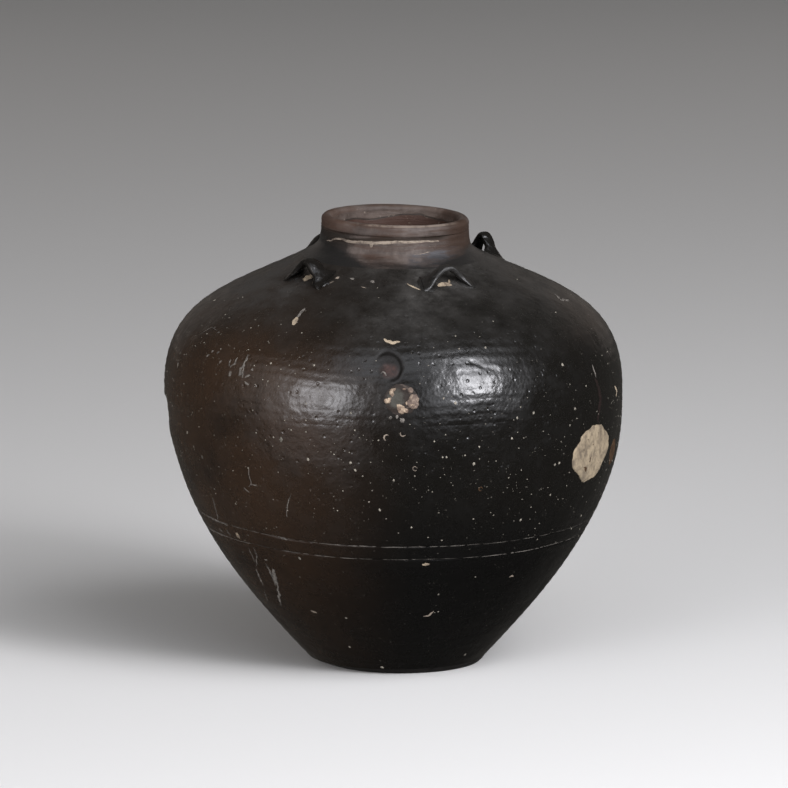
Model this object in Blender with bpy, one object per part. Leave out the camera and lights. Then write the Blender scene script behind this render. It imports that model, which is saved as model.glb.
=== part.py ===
"""Brown-black glazed stoneware storage jar with four strap lugs round its short neck.

The jar is put together as a potter does it: a base disc, a lower wall, a shoulder wall, a neck
and a rolled lip, each turned by itself and luted on the one below with a ridge and a groove.
Four straps of clay are then arched on the shoulder as lugs for tying down a cover, and two
scars of stuck clay stay on the glaze after the firing.

Metres, +Z up. The origin is on the floor under the middle of the belly, and the front of the
jar faces -Y. An azimuth is counted from the front towards +X.
"""

import math

import bmesh
import bpy
from mathutils import Vector

# Facets round the jar
SEGMENTS = 56

# Fit between the pieces
SEAT_GAP = 0.0003
WALL = 0.009
LUTE_RIDGE = 0.0022

# Base disc
FOOT_RADIUS = 0.080
FOOT_EDGE = 0.0015
BASE_RIM_RADIUS = 0.089
BASE_RIM_HEIGHT = 0.006

# Lower wall, from the base rim to the belly
LOWER_HEIGHT = 0.271
BELLY_RADIUS = 0.229
LOWER_FLARE = math.radians(43.0)
LOWER_FOOT_PULL = 0.098
LOWER_BELLY_PULL = 0.1135

# Two lines cut in the lower wall, as depths below the belly
UPPER_LINE_DROP = 0.1265
LOWER_LINE_DROP = 0.1400
LINE_WIDTH = 0.0016
LINE_DEPTH = 0.0006

# Shoulder wall, from the belly to the seat of the neck
SHOULDER_HEIGHT = 0.1335
SHOULDER_BELLY_PULL = 0.0865
SHOULDER_FALL = math.radians(26.5)
SHOULDER_NECK_PULL = 0.0875

# Neck, measured out from its mouth
MOUTH_RADIUS = 0.0625
NECK_HEIGHT = 0.0280
NECK_WALL = 0.0120
NECK_TAPER = 0.0013
NECK_FLARE = 0.0185
NECK_ROOT_PULL = 0.011
NECK_WAIST_DROP = 0.010
THROAT_PULL = 0.012
THROAT_DEPTH = 0.014

# Rolled lip
LIP_HEIGHT = 0.0115
LIP_PROUD = 0.0002
LIP_ROUND = 0.0050
LIP_UNDERCUT = 0.0012

# How far the luted sections sit off the jar's axis, and the tilt of the mouth
LOWER_SWAY = 0.0033
LOWER_SWAY_RISE = 0.085
FOOT_SWAY = 0.0055
MOUTH_SWAY = 0.0020
MOUTH_SWAY_RISE = 0.080
MOUTH_TILT = math.radians(1.5)

# Strap lugs on the shoulder
LUG_STAND_OFF = 0.024
LUG_AZIMUTHS = {
    "lug_front_right": math.radians(26.5),
    "lug_back_right": math.radians(128.5),
    "lug_back_left": math.radians(-142.8),
    "lug_front_left": math.radians(-46.5),
}
LUG_REACH = 0.026
LUG_RISE = 0.0158
LUG_THICKNESS = 0.0060
LUG_FOOT_THICKNESS = 0.0032
LUG_WIDTH = 0.0125
LUG_FOOT_WIDTH = 0.021
LUG_STEPS = 16
LUG_SIDES = 10
LUG_SQUARENESS = 0.72

# The lugs' own reach and rise, and how far the crown leans to one foot
FRONT_REACH_SHARE = 1.0
FRONT_RISE_SHARE = 1.0
UPRIGHT_LEAN_SHARE = 0.0
BACK_RIGHT_REACH_SHARE = 0.74
BACK_RIGHT_RISE_SHARE = 1.27
BACK_RIGHT_LEAN_SHARE = 0.14
BACK_LEFT_REACH_SHARE = 0.94
BACK_LEFT_RISE_SHARE = 0.80

# Side scar, a thin pad of rough pale clay on the lower wall
SIDE_SCAR_AZIMUTH = math.radians(60.0)
SIDE_SCAR_DROP = 0.048
SIDE_SCAR_HALF_WIDTH = 0.031
SIDE_SCAR_HALF_HEIGHT = 0.028
SIDE_SCAR_CROWN = 0.0016
SIDE_SCAR_SHARES = (
    (0.12, 1.00), (0.62, 0.82), (0.95, 0.35), (0.98, -0.05), (0.78, -0.50), (0.42, -0.92),
    (-0.10, -1.00), (-0.48, -0.72), (-0.98, -0.08), (-0.86, 0.36), (-0.50, 0.92), (-0.15, 0.96),
)

# Front scar, five crumbs of pale clay on the shoulder wall
FRONT_SCAR_AZIMUTH = math.radians(2.0)
FRONT_SCAR_RISE = 0.0265
FRONT_SCAR_HALF_WIDTH = 0.0165
FRONT_SCAR_HALF_HEIGHT = 0.0125
CRUMB_SIZE = 0.0046
CRUMB_CROWN = 0.0016
CRUMB_SIDES = 7
CRUMB_SHARES = {
    "scar_crumb_top_left": (-0.56, 0.58, 0.95),
    "scar_crumb_left": (-0.84, -0.12, 0.90),
    "scar_crumb_bottom": (0.04, -0.92, 1.15),
    "scar_crumb_right": (0.68, -0.34, 1.20),
    "scar_crumb_top_right": (0.56, 0.72, 0.80),
}

# How deep a piece reaches under the glaze before it is trimmed to the wall
BURY = 0.004

# A small step along a curve, as a share of it, that gives its length near a point
PROBE_SHARE = 0.01

# Edges bent more than this stay sharp, and the rest are shaded round
SHARP_BEND = math.radians(40.0)

# Number of straight spans in each run of an outline
LOWER_RUN_SPANS = 6
BELLY_RUN_SPANS = 6
LOWER_INNER_SPANS = 11
SHOULDER_SPANS = 12
NECK_SPANS = 5
ROUND_SPANS = 3

NECK_RADIUS = MOUTH_RADIUS + NECK_WALL
NECK_TOP_RADIUS = NECK_RADIUS - NECK_TAPER
NECK_SEAT_RADIUS = NECK_RADIUS + NECK_FLARE
LIP_RADIUS = NECK_TOP_RADIUS + LIP_PROUD
LUG_RADIUS = NECK_SEAT_RADIUS + LUG_STAND_OFF

BELLY_HEIGHT = BASE_RIM_HEIGHT + LOWER_HEIGHT
NECK_SEAT_HEIGHT = BELLY_HEIGHT + SHOULDER_HEIGHT
LIP_SEAT_HEIGHT = NECK_SEAT_HEIGHT + NECK_HEIGHT
TOTAL_HEIGHT = LIP_SEAT_HEIGHT + LIP_HEIGHT


# Curves in the plane of an outline, as (radius, height)

class Curve:
    """A cubic curve through two ends, with a pull along a direction at each end."""

    def __init__(self, start, start_pull, end, end_pull):
        self.points = (start, start + start_pull, end - end_pull, end)

    def at(self, t):
        """Return the point at t, from 0 at the start to 1 at the end."""
        a, b, c, d = self.points
        s = 1 - t
        return a * s ** 3 + b * 3 * s * s * t + c * 3 * s * t * t + d * t ** 3

    def outward(self, t):
        """Return the unit vector that points out of the clay at t."""
        a, b, c, d = self.points
        s = 1 - t
        along = (b - a) * s * s + (c - b) * 2 * s * t + (d - c) * t * t
        return Vector((along.y, -along.x)).normalized()

    def offset(self, t, distance):
        """Return the point at t, moved out by a distance."""
        return self.at(t) + self.outward(t) * distance

    def t_at_height(self, height):
        """Return t where the curve, which climbs all the way, reaches a height."""
        low, high = 0.0, 1.0
        for _ in range(40):
            middle = (low + high) / 2
            if self.at(middle).y < height:
                low = middle
            else:
                high = middle
        return (low + high) / 2


def direction(angle):
    """Return the unit vector that leans out from +Z by an angle."""
    return Vector((math.sin(angle), math.cos(angle)))


def fractions(first, last, spans):
    """Return evenly spaced values from first to last, both included."""
    return [first + (last - first) * step / spans for step in range(spans + 1)]


LOWER_CURVE = Curve(
    Vector((BASE_RIM_RADIUS, BASE_RIM_HEIGHT)),
    direction(LOWER_FLARE) * LOWER_FOOT_PULL,
    Vector((BELLY_RADIUS, BELLY_HEIGHT)),
    direction(0) * LOWER_BELLY_PULL,
)
SHOULDER_CURVE = Curve(
    Vector((BELLY_RADIUS, BELLY_HEIGHT)),
    direction(0) * SHOULDER_BELLY_PULL,
    Vector((NECK_SEAT_RADIUS, NECK_SEAT_HEIGHT)),
    direction(SHOULDER_FALL - math.pi / 2) * SHOULDER_NECK_PULL,
)
NECK_CURVE = Curve(
    SHOULDER_CURVE.at(1),
    direction(SHOULDER_FALL - math.pi / 2) * NECK_ROOT_PULL,
    Vector((NECK_RADIUS, LIP_SEAT_HEIGHT - NECK_WAIST_DROP)),
    direction(0) * (NECK_HEIGHT - NECK_WAIST_DROP) / 2,
)
THROAT_CURVE = Curve(
    SHOULDER_CURVE.offset(1, -WALL),
    direction(SHOULDER_FALL - math.pi / 2) * THROAT_PULL,
    Vector((MOUTH_RADIUS, LIP_SEAT_HEIGHT - NECK_WAIST_DROP)),
    direction(0) * THROAT_DEPTH,
)


def lute(outer, inner, lift):
    """Return the ridge between two sections: outer corner, crest and inner corner.

    The ridge stands square to the line between the corners, on the side of the upper section,
    and all of it is lifted that way, by the seat gap for the upper section's groove.
    """
    across = (outer - inner).normalized()
    up = Vector((-across.y, across.x))
    crest = (outer + inner) / 2 + up * LUTE_RIDGE
    return [corner + up * lift for corner in (outer, crest, inner)]


def arc(centre, radius, start, end, spans):
    """Return points along an arc, with angles counted from outwards towards up."""
    return [
        centre + Vector((math.cos(angle), math.sin(angle))) * radius
        for angle in fractions(start, end, spans)
    ]


# Outlines, each counter-clockwise from its lowest outer corner

def base_disc_outline():
    """Return the outline of the base disc, which starts and ends on the axis."""
    seat = lute(LOWER_CURVE.at(0), LOWER_CURVE.offset(0, -WALL), 0)
    floor_height = seat[-1].y
    foot = [Vector((0, 0)), Vector((FOOT_RADIUS - FOOT_EDGE, 0)), Vector((FOOT_RADIUS, FOOT_EDGE))]
    return foot + seat + [Vector((0, floor_height))]


def cut_line(drop):
    """Return the three points of a line cut in the lower wall, and its two ends as t."""
    height = BELLY_HEIGHT - drop
    low = LOWER_CURVE.t_at_height(height - LINE_WIDTH / 2)
    middle = LOWER_CURVE.t_at_height(height)
    high = LOWER_CURVE.t_at_height(height + LINE_WIDTH / 2)
    points = [LOWER_CURVE.at(low), LOWER_CURVE.offset(middle, -LINE_DEPTH), LOWER_CURVE.at(high)]
    return points, low, high


def lower_body_outline():
    """Return the outline of the lower wall, with its two cut lines."""
    foot_seat = lute(LOWER_CURVE.at(0), LOWER_CURVE.offset(0, -WALL), SEAT_GAP)
    belly_seat = lute(LOWER_CURVE.at(1), LOWER_CURVE.offset(1, -WALL), 0)
    lower_line, line_start, line_end = cut_line(LOWER_LINE_DROP)
    upper_line, next_start, next_end = cut_line(UPPER_LINE_DROP)
    foot_run = [LOWER_CURVE.at(t) for t in fractions(0, line_start, LOWER_RUN_SPANS)][1:-1]
    belly_run = [LOWER_CURVE.at(t) for t in fractions(next_end, 1, BELLY_RUN_SPANS)][1:-1]
    inner_run = [LOWER_CURVE.offset(t, -WALL) for t in fractions(1, 0, LOWER_INNER_SPANS)][1:-1]
    outer_run = foot_run + lower_line + upper_line + belly_run
    return [foot_seat[0]] + outer_run + belly_seat + inner_run + [foot_seat[2], foot_seat[1]]


def shoulder_outline():
    """Return the outline of the shoulder wall."""
    belly_seat = lute(SHOULDER_CURVE.at(0), SHOULDER_CURVE.offset(0, -WALL), SEAT_GAP)
    neck_seat = lute(SHOULDER_CURVE.at(1), SHOULDER_CURVE.offset(1, -WALL), 0)
    outer_run = [SHOULDER_CURVE.at(t) for t in fractions(0, 1, SHOULDER_SPANS)][1:-1]
    inner_run = [SHOULDER_CURVE.offset(t, -WALL) for t in fractions(1, 0, SHOULDER_SPANS)][1:-1]
    return [belly_seat[0]] + outer_run + neck_seat + inner_run + [belly_seat[2], belly_seat[1]]


def neck_outline():
    """Return the outline of the neck, flared at its root and straight below the lip."""
    root_seat = lute(NECK_CURVE.at(0), THROAT_CURVE.at(0), SEAT_GAP)
    outer_top = Vector((NECK_TOP_RADIUS - LIP_UNDERCUT, LIP_SEAT_HEIGHT))
    inner_top = Vector((MOUTH_RADIUS, LIP_SEAT_HEIGHT))
    collar = Vector((NECK_TOP_RADIUS, LIP_SEAT_HEIGHT - LIP_UNDERCUT))
    outer_run = [NECK_CURVE.at(t) for t in fractions(0, 1, NECK_SPANS)][1:]
    inner_run = [THROAT_CURVE.at(t) for t in fractions(1, 0, NECK_SPANS)][:-1]
    lip_seat = lute(outer_top, inner_top, 0)
    return [root_seat[0]] + outer_run + [collar] + lip_seat + inner_run + [root_seat[2], root_seat[1]]


def lip_outline():
    """Return the outline of the rolled lip, round at its top and undercut below."""
    outer_foot = Vector((NECK_TOP_RADIUS - LIP_UNDERCUT, LIP_SEAT_HEIGHT))
    inner_foot = Vector((MOUTH_RADIUS, LIP_SEAT_HEIGHT))
    seat = lute(outer_foot, inner_foot, SEAT_GAP)
    swell = Vector((LIP_RADIUS, seat[0].y + LIP_UNDERCUT))
    top = TOTAL_HEIGHT - LIP_ROUND
    outer_round = arc(Vector((LIP_RADIUS - LIP_ROUND, top)), LIP_ROUND, 0, math.pi / 2, ROUND_SPANS)
    inner_round = arc(Vector((MOUTH_RADIUS + LIP_ROUND, top)), LIP_ROUND, math.pi / 2, math.pi, ROUND_SPANS)
    return [seat[0], swell] + outer_round + inner_round + [seat[2], seat[1]]


def skin_outline(lift):
    """Return a solid outline of the whole outside below the neck, lifted off the clay."""
    lower_line, line_start, line_end = cut_line(LOWER_LINE_DROP)
    upper_line, next_start, next_end = cut_line(UPPER_LINE_DROP)
    foot_run = fractions(0, line_start, LOWER_RUN_SPANS)
    belly_run = fractions(next_end, 1, BELLY_RUN_SPANS)
    lower = [LOWER_CURVE.offset(t, lift) for t in foot_run + [next_start] + belly_run[:-1]]
    shoulder = [SHOULDER_CURVE.offset(t, lift) for t in fractions(0, 1, SHOULDER_SPANS)]
    return [Vector((0, BASE_RIM_HEIGHT))] + lower + shoulder + [Vector((0, shoulder[-1].y))]


# Where the clay really sits

def smooth(value):
    """Return a soft step from 0 to 1 as value goes from 0 to 1."""
    value = max(0.0, min(1.0, value))
    return value * value * (3 - 2 * value)


def settle(point):
    """Return a turned point moved to where the hand-luted sections sit.

    Every piece goes through this, so neighbours move alike and stay seated.
    """
    lower = smooth((BELLY_HEIGHT - point.z) / LOWER_SWAY_RISE)
    foot = smooth((BASE_RIM_HEIGHT - point.z) / BASE_RIM_HEIGHT)
    mouth = smooth((point.z - TOTAL_HEIGHT + MOUTH_SWAY_RISE) / MOUTH_SWAY_RISE)
    across = LOWER_SWAY * lower + FOOT_SWAY * foot + MOUTH_SWAY * mouth
    drop = point.x * math.tan(MOUTH_TILT) * mouth
    return Vector((point.x + across, point.y, point.z - drop))


def polar(azimuth, radius, height):
    """Return the point at an azimuth counted from the front towards +X."""
    return Vector((radius * math.sin(azimuth), -radius * math.cos(azimuth), height))


# Solids

def finish_mesh(name, shell, material):
    """Turn a bmesh into a named object with its material, round faces shaded smooth."""
    bmesh.ops.recalc_face_normals(shell, faces=shell.faces)
    for vertex in shell.verts:
        vertex.co = settle(vertex.co)
    mesh = bpy.data.meshes.new(name)
    shell.to_mesh(mesh)
    shell.free()
    mesh.shade_smooth()
    mesh.set_sharp_from_angle(angle=SHARP_BEND)
    mesh.materials.append(material)
    solid = bpy.data.objects.new(name, mesh)
    bpy.context.collection.objects.link(solid)
    return solid


def turned(name, outline, material):
    """Return a solid of revolution of an outline about the jar's axis."""
    shell = bmesh.new()
    corners = [shell.verts.new(polar(0, point.x, point.y)) for point in outline]
    edges = [shell.edges.new(pair) for pair in zip(corners, corners[1:])]
    if outline[0].x > 0:
        edges.append(shell.edges.new((corners[-1], corners[0])))
    bmesh.ops.spin(
        shell, geom=corners + edges, cent=(0, 0, 0), axis=(0, 0, 1), angle=math.tau,
        steps=SEGMENTS, use_merge=True, use_duplicate=False,
    )
    bmesh.ops.remove_doubles(shell, verts=shell.verts, dist=SEAT_GAP / 10)
    return finish_mesh(name, shell, material)


def trimmed_to_wall(solid, cutter):
    """Cut away what lies under the jar's skin, with a live Boolean."""
    cut = solid.modifiers.new("trim_to_wall", "BOOLEAN")
    cut.operation = "DIFFERENCE"
    cut.solver = "EXACT"
    cut.object = cutter


def skin_height(radius):
    """Return the height of the shoulder's outside at a radius."""
    low, high = 0.0, 1.0
    for _ in range(40):
        middle = (low + high) / 2
        if SHOULDER_CURVE.at(middle).x > radius:
            low = middle
        else:
            high = middle
    return SHOULDER_CURVE.at((low + high) / 2).y


def lug_form(name):
    """Return a lug's shares of the reach and the rise, and its crown's lean."""
    if name == "lug_back_right":
        return BACK_RIGHT_REACH_SHARE, BACK_RIGHT_RISE_SHARE, BACK_RIGHT_LEAN_SHARE
    if name == "lug_back_left":
        return BACK_LEFT_REACH_SHARE, BACK_LEFT_RISE_SHARE, UPRIGHT_LEAN_SHARE
    return FRONT_REACH_SHARE, FRONT_RISE_SHARE, UPRIGHT_LEAN_SHARE


def lug_section(name, place):
    """Return one ring of a lug's strap, at a place from -1 at one foot to 1 at the other."""
    azimuth = LUG_AZIMUTHS[name]
    reach_share, rise_share, lean_share = lug_form(name)
    reach = LUG_REACH * reach_share
    rise = LUG_RISE * rise_share
    turn = math.pi * (place - lean_share * (1 - place * place))
    arch = (1 + math.cos(turn)) / 2
    fall = math.pi * (1 + 2 * lean_share * place) * math.sin(turn) / 2
    slope = math.atan(rise * fall / reach)
    half_width = (LUG_FOOT_WIDTH + (LUG_WIDTH - LUG_FOOT_WIDTH) * smooth(2 * arch)) / 2
    half_thickness = (LUG_FOOT_THICKNESS + (LUG_THICKNESS - LUG_FOOT_THICKNESS) * smooth(2 * arch)) / 2
    ring = []
    for side in range(LUG_SIDES):
        angle = math.tau * side / LUG_SIDES
        cosine, sine = math.cos(angle), math.sin(angle)
        out = math.copysign(abs(cosine) ** LUG_SQUARENESS, cosine) * half_width
        lift = math.copysign(abs(sine) ** LUG_SQUARENESS, sine) * half_thickness
        ground = skin_height(LUG_RADIUS) * arch + skin_height(LUG_RADIUS + out) * (1 - arch)
        height = ground + rise * arch + lift * math.cos(slope)
        along = reach * place + lift * math.sin(slope)
        ring.append(polar(azimuth + along / LUG_RADIUS, LUG_RADIUS + out, height))
    return ring


def lug(name, material, cutter):
    """Return a strap of clay arched on the shoulder, with flared feet trimmed to it."""
    shell = bmesh.new()
    rings = []
    for place in fractions(-1, 1, LUG_STEPS):
        section = lug_section(name, place)
        rings.append([shell.verts.new(point) for point in section])
    for ring, following in zip(rings, rings[1:]):
        for side in range(LUG_SIDES):
            other = (side + 1) % LUG_SIDES
            shell.faces.new((ring[side], ring[other], following[other], following[side]))
    shell.faces.new(rings[0])
    shell.faces.new(rings[-1])
    strap = finish_mesh(name, shell, material)
    trimmed_to_wall(strap, cutter)
    return strap


def add_pad(shell, curve, azimuth, t, rim, crown):
    """Add a closed pad that follows the wall: a domed top over a flat underside.

    The rim is a list of steps along the wall, across and up, from the pad's middle.
    """
    middle = curve.at(t)
    climb = curve.at(t + PROBE_SHARE) - curve.at(t - PROBE_SHARE)
    per_length = 2 * PROBE_SHARE / climb.length

    def on_wall(across, up, lift):
        spot = curve.offset(t + up * per_length, lift)
        return polar(azimuth + across / middle.x, spot.x, spot.y)

    top = shell.verts.new(on_wall(0, 0, crown))
    inner, outer, under = [], [], []
    for across, up in rim:
        inner.append(shell.verts.new(on_wall(across / 2, up / 2, crown)))
        outer.append(shell.verts.new(on_wall(across, up, crown / 2)))
        under.append(shell.verts.new(on_wall(across, up, -BURY)))
    bottom = shell.verts.new(on_wall(0, 0, -BURY))
    for index in range(len(rim)):
        other = (index + 1) % len(rim)
        shell.faces.new((top, inner[index], inner[other]))
        shell.faces.new((inner[index], outer[index], outer[other], inner[other]))
        shell.faces.new((outer[index], under[index], under[other], outer[other]))
        shell.faces.new((under[index], bottom, under[other]))


def side_scar(material, cutter):
    """Return the rough pale patch on the right of the lower wall."""
    shell = bmesh.new()
    rim = [(x * SIDE_SCAR_HALF_WIDTH, y * SIDE_SCAR_HALF_HEIGHT) for x, y in SIDE_SCAR_SHARES]
    t = LOWER_CURVE.t_at_height(BELLY_HEIGHT - SIDE_SCAR_DROP)
    add_pad(shell, LOWER_CURVE, SIDE_SCAR_AZIMUTH, t, rim, SIDE_SCAR_CROWN)
    scar = finish_mesh("side_scar", shell, material)
    trimmed_to_wall(scar, cutter)
    return scar


def crumb(name, shares, material, cutter):
    """Return one crumb of pale clay left on the front of the shoulder wall."""
    across_share, up_share, size_share = shares
    shell = bmesh.new()
    azimuth = FRONT_SCAR_AZIMUTH + across_share * FRONT_SCAR_HALF_WIDTH / BELLY_RADIUS
    height = BELLY_HEIGHT + FRONT_SCAR_RISE + up_share * FRONT_SCAR_HALF_HEIGHT
    size = CRUMB_SIZE * size_share
    turns = fractions(0, math.tau, CRUMB_SIDES)[:-1]
    rim = [(size * math.cos(turn), size * math.sin(turn)) for turn in turns]
    t = SHOULDER_CURVE.t_at_height(height)
    add_pad(shell, SHOULDER_CURVE, azimuth, t, rim, CRUMB_CROWN * size_share)
    grain = finish_mesh(name, shell, material)
    trimmed_to_wall(grain, cutter)
    return grain


# Materials

def clay(name, colour, roughness, coat=0.0):
    """Return a Principled material of a colour and roughness, with an optional glaze coat."""
    material = bpy.data.materials.new(name)
    material.use_nodes = True
    shader = material.node_tree.nodes["Principled BSDF"]
    shader.inputs["Base Color"].default_value = (*colour, 1.0)
    shader.inputs["Roughness"].default_value = roughness
    shader.inputs["Metallic"].default_value = 0.0
    shader.inputs["Coat Weight"].default_value = coat
    return material


def build():
    """Make the jar's pieces in an empty scene."""
    for leftover in list(bpy.data.objects):
        bpy.data.objects.remove(leftover)

    black_glaze = clay("black_brown_glaze", (0.018, 0.014, 0.012), 0.32, coat=0.4)
    bare_neck = clay("grey_brown_bare_clay", (0.11, 0.085, 0.065), 0.75)
    foot_clay = clay("dark_foot_clay", (0.030, 0.022, 0.018), 0.70)
    pale_clay = clay("pale_scar_clay", (0.48, 0.40, 0.29), 0.85)

    jar = bpy.data.objects.new("storage_jar", None)
    bpy.context.collection.objects.link(jar)

    skin = turned("skin_cutter", skin_outline(SEAT_GAP), foot_clay)
    skin.hide_render = True
    skin.display_type = "WIRE"

    pieces = [
        turned("base_disc", base_disc_outline(), foot_clay),
        turned("lower_body", lower_body_outline(), black_glaze),
        turned("shoulder", shoulder_outline(), black_glaze),
        turned("neck", neck_outline(), bare_neck),
        turned("lip", lip_outline(), bare_neck),
    ]
    pieces += [lug(name, black_glaze, skin) for name in LUG_AZIMUTHS]
    pieces += [crumb(name, shares, pale_clay, skin) for name, shares in CRUMB_SHARES.items()]
    pieces.append(side_scar(pale_clay, skin))
    for piece in pieces:
        piece.parent = jar


build()
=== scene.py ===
"""Looks of a brown-black glazed stoneware storage jar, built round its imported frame.

The jar is dressed as it was made: five turned sections luted on each other, four strap lugs,
and the stuck clay, scratches and grit that the kiln and the years left on the glaze.
Metres, +Z up. An azimuth is counted in degrees from the front (-Y) towards +X.
"""

import logging
import math
from dataclasses import dataclass, field
from enum import Enum
from typing import Any

import bpy
import numpy as np
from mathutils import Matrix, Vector, noise
from mathutils.bvhtree import BVHTree


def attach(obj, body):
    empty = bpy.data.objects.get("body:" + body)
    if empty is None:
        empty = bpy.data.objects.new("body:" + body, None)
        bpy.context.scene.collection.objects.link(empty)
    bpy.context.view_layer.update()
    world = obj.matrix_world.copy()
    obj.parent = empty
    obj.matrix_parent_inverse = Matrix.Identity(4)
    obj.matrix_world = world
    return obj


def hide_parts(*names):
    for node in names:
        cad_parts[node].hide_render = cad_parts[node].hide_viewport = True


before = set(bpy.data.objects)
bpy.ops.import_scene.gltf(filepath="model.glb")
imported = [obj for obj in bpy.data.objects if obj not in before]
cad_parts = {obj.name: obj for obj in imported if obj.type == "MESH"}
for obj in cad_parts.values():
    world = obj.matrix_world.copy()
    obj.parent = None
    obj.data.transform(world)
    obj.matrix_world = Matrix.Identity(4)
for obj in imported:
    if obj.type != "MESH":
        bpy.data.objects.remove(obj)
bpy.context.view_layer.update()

BODY = "root"
LOG = logging.getLogger("storage_jar")

Piece, Mesh, Polygon = bpy.types.Object, bpy.types.Mesh, bpy.types.MeshPolygon
Material, Tree, Node = bpy.types.Material, bpy.types.NodeTree, bpy.types.Node
Array = np.ndarray
Point = tuple[float, float]
Path = tuple[Point, ...]
Colour = tuple[float, float, float]
Face = tuple[int, ...]
Run = tuple[Array, Array, float, float]
Layer = tuple[Any, Any]

OUT = np.array([[1.0, 0.0]])
UP = np.array([[0.0, 1.0]])
SHARP_ANGLE = 48.0
SEED_STEP = 7.31
OUTLINE_STEPS = 400


class Slot(Enum):
    """The record's material slots."""

    GLAZE = "black_brown_glaze"
    NECK = "bare_neck_clay"
    FOOT = "foot_clay"
    SCAR = "pale_scar_clay"


class Tone(Enum):
    """What a mark on the skin is made of."""

    CREAM = "cream_clay_marks"
    SLIP = "slip_marks"
    SPECK = "large_grit"
    GREY = "grey_scratches"
    RED = "red_brown_marks"
    CRACK = "dark_crack_marks"
    WEAR = "cut_line_wear"


# Small helpers for curves and fields


def soft_step(value: Array) -> Array:
    """Return a soft step from 0 to 1 as value goes from 0 to 1."""
    value = np.clip(value, 0.0, 1.0)
    return value * value * (3 - 2 * value)


def bump(value: Array, width: float) -> Array:
    """Return a bell of height 1 round 0, with a half width."""
    return np.exp(-((value / width) ** 2))


def turn_between(azimuth: Array, centre: float) -> Array:
    """Return the azimuths' distance from a centre in degrees, from -180 to 180."""
    return (azimuth - centre + 180.0) % 360.0 - 180.0


def polar(azimuth: Array, radius: Array, height: Array) -> Array:
    """Return points at azimuths in degrees counted from the front towards +X."""
    angle = np.radians(azimuth)
    parts = (radius * np.sin(angle), -radius * np.cos(angle), height + 0 * angle)
    return np.stack(np.broadcast_arrays(*parts), axis=-1)


def lengths_along(points: Array) -> Array:
    """Return the distance to each point along a line of points."""
    return np.concatenate([[0.0], np.cumsum(np.linalg.norm(np.diff(points, axis=0), axis=1))])


def lean(angle: float, pull: float) -> Array:
    """Return a pull along a direction that leans out from +Z by an angle in degrees."""
    return np.array([math.sin(math.radians(angle)), math.cos(math.radians(angle))]) * pull


class Curve:
    """A cubic curve in the plane of an outline, as (radius, height)."""

    def __init__(self, start: Array, start_pull: Array, end: Array, end_pull: Array) -> None:
        """Keep the four control points; each pull runs along the curve at its end."""
        self.points = np.array([start, start + start_pull, end - end_pull, end])

    def at(self, t: Array) -> Array:
        """Return the points at t, from 0 at the start to 1 at the end."""
        t = np.atleast_1d(t)[:, None]
        a, b, c, d = self.points
        s = 1 - t
        return a * s**3 + b * 3 * s * s * t + c * 3 * s * t * t + d * t**3

    def outward(self, t: Array) -> Array:
        """Return the unit vectors that point out of the clay at t."""
        t = np.atleast_1d(t)[:, None]
        a, b, c, d = self.points
        s = 1 - t
        along = (b - a) * s * s + (c - b) * 2 * s * t + (d - c) * t * t
        out = np.stack([along[:, 1], -along[:, 0]], axis=-1)
        return out / np.linalg.norm(out, axis=1, keepdims=True)


@dataclass(frozen=True)
class Outline:
    """The rings of a turned section, counter-clockwise from its lowest outer corner."""

    points: Array
    outward: Array
    skin: Array
    inside: Array


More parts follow.
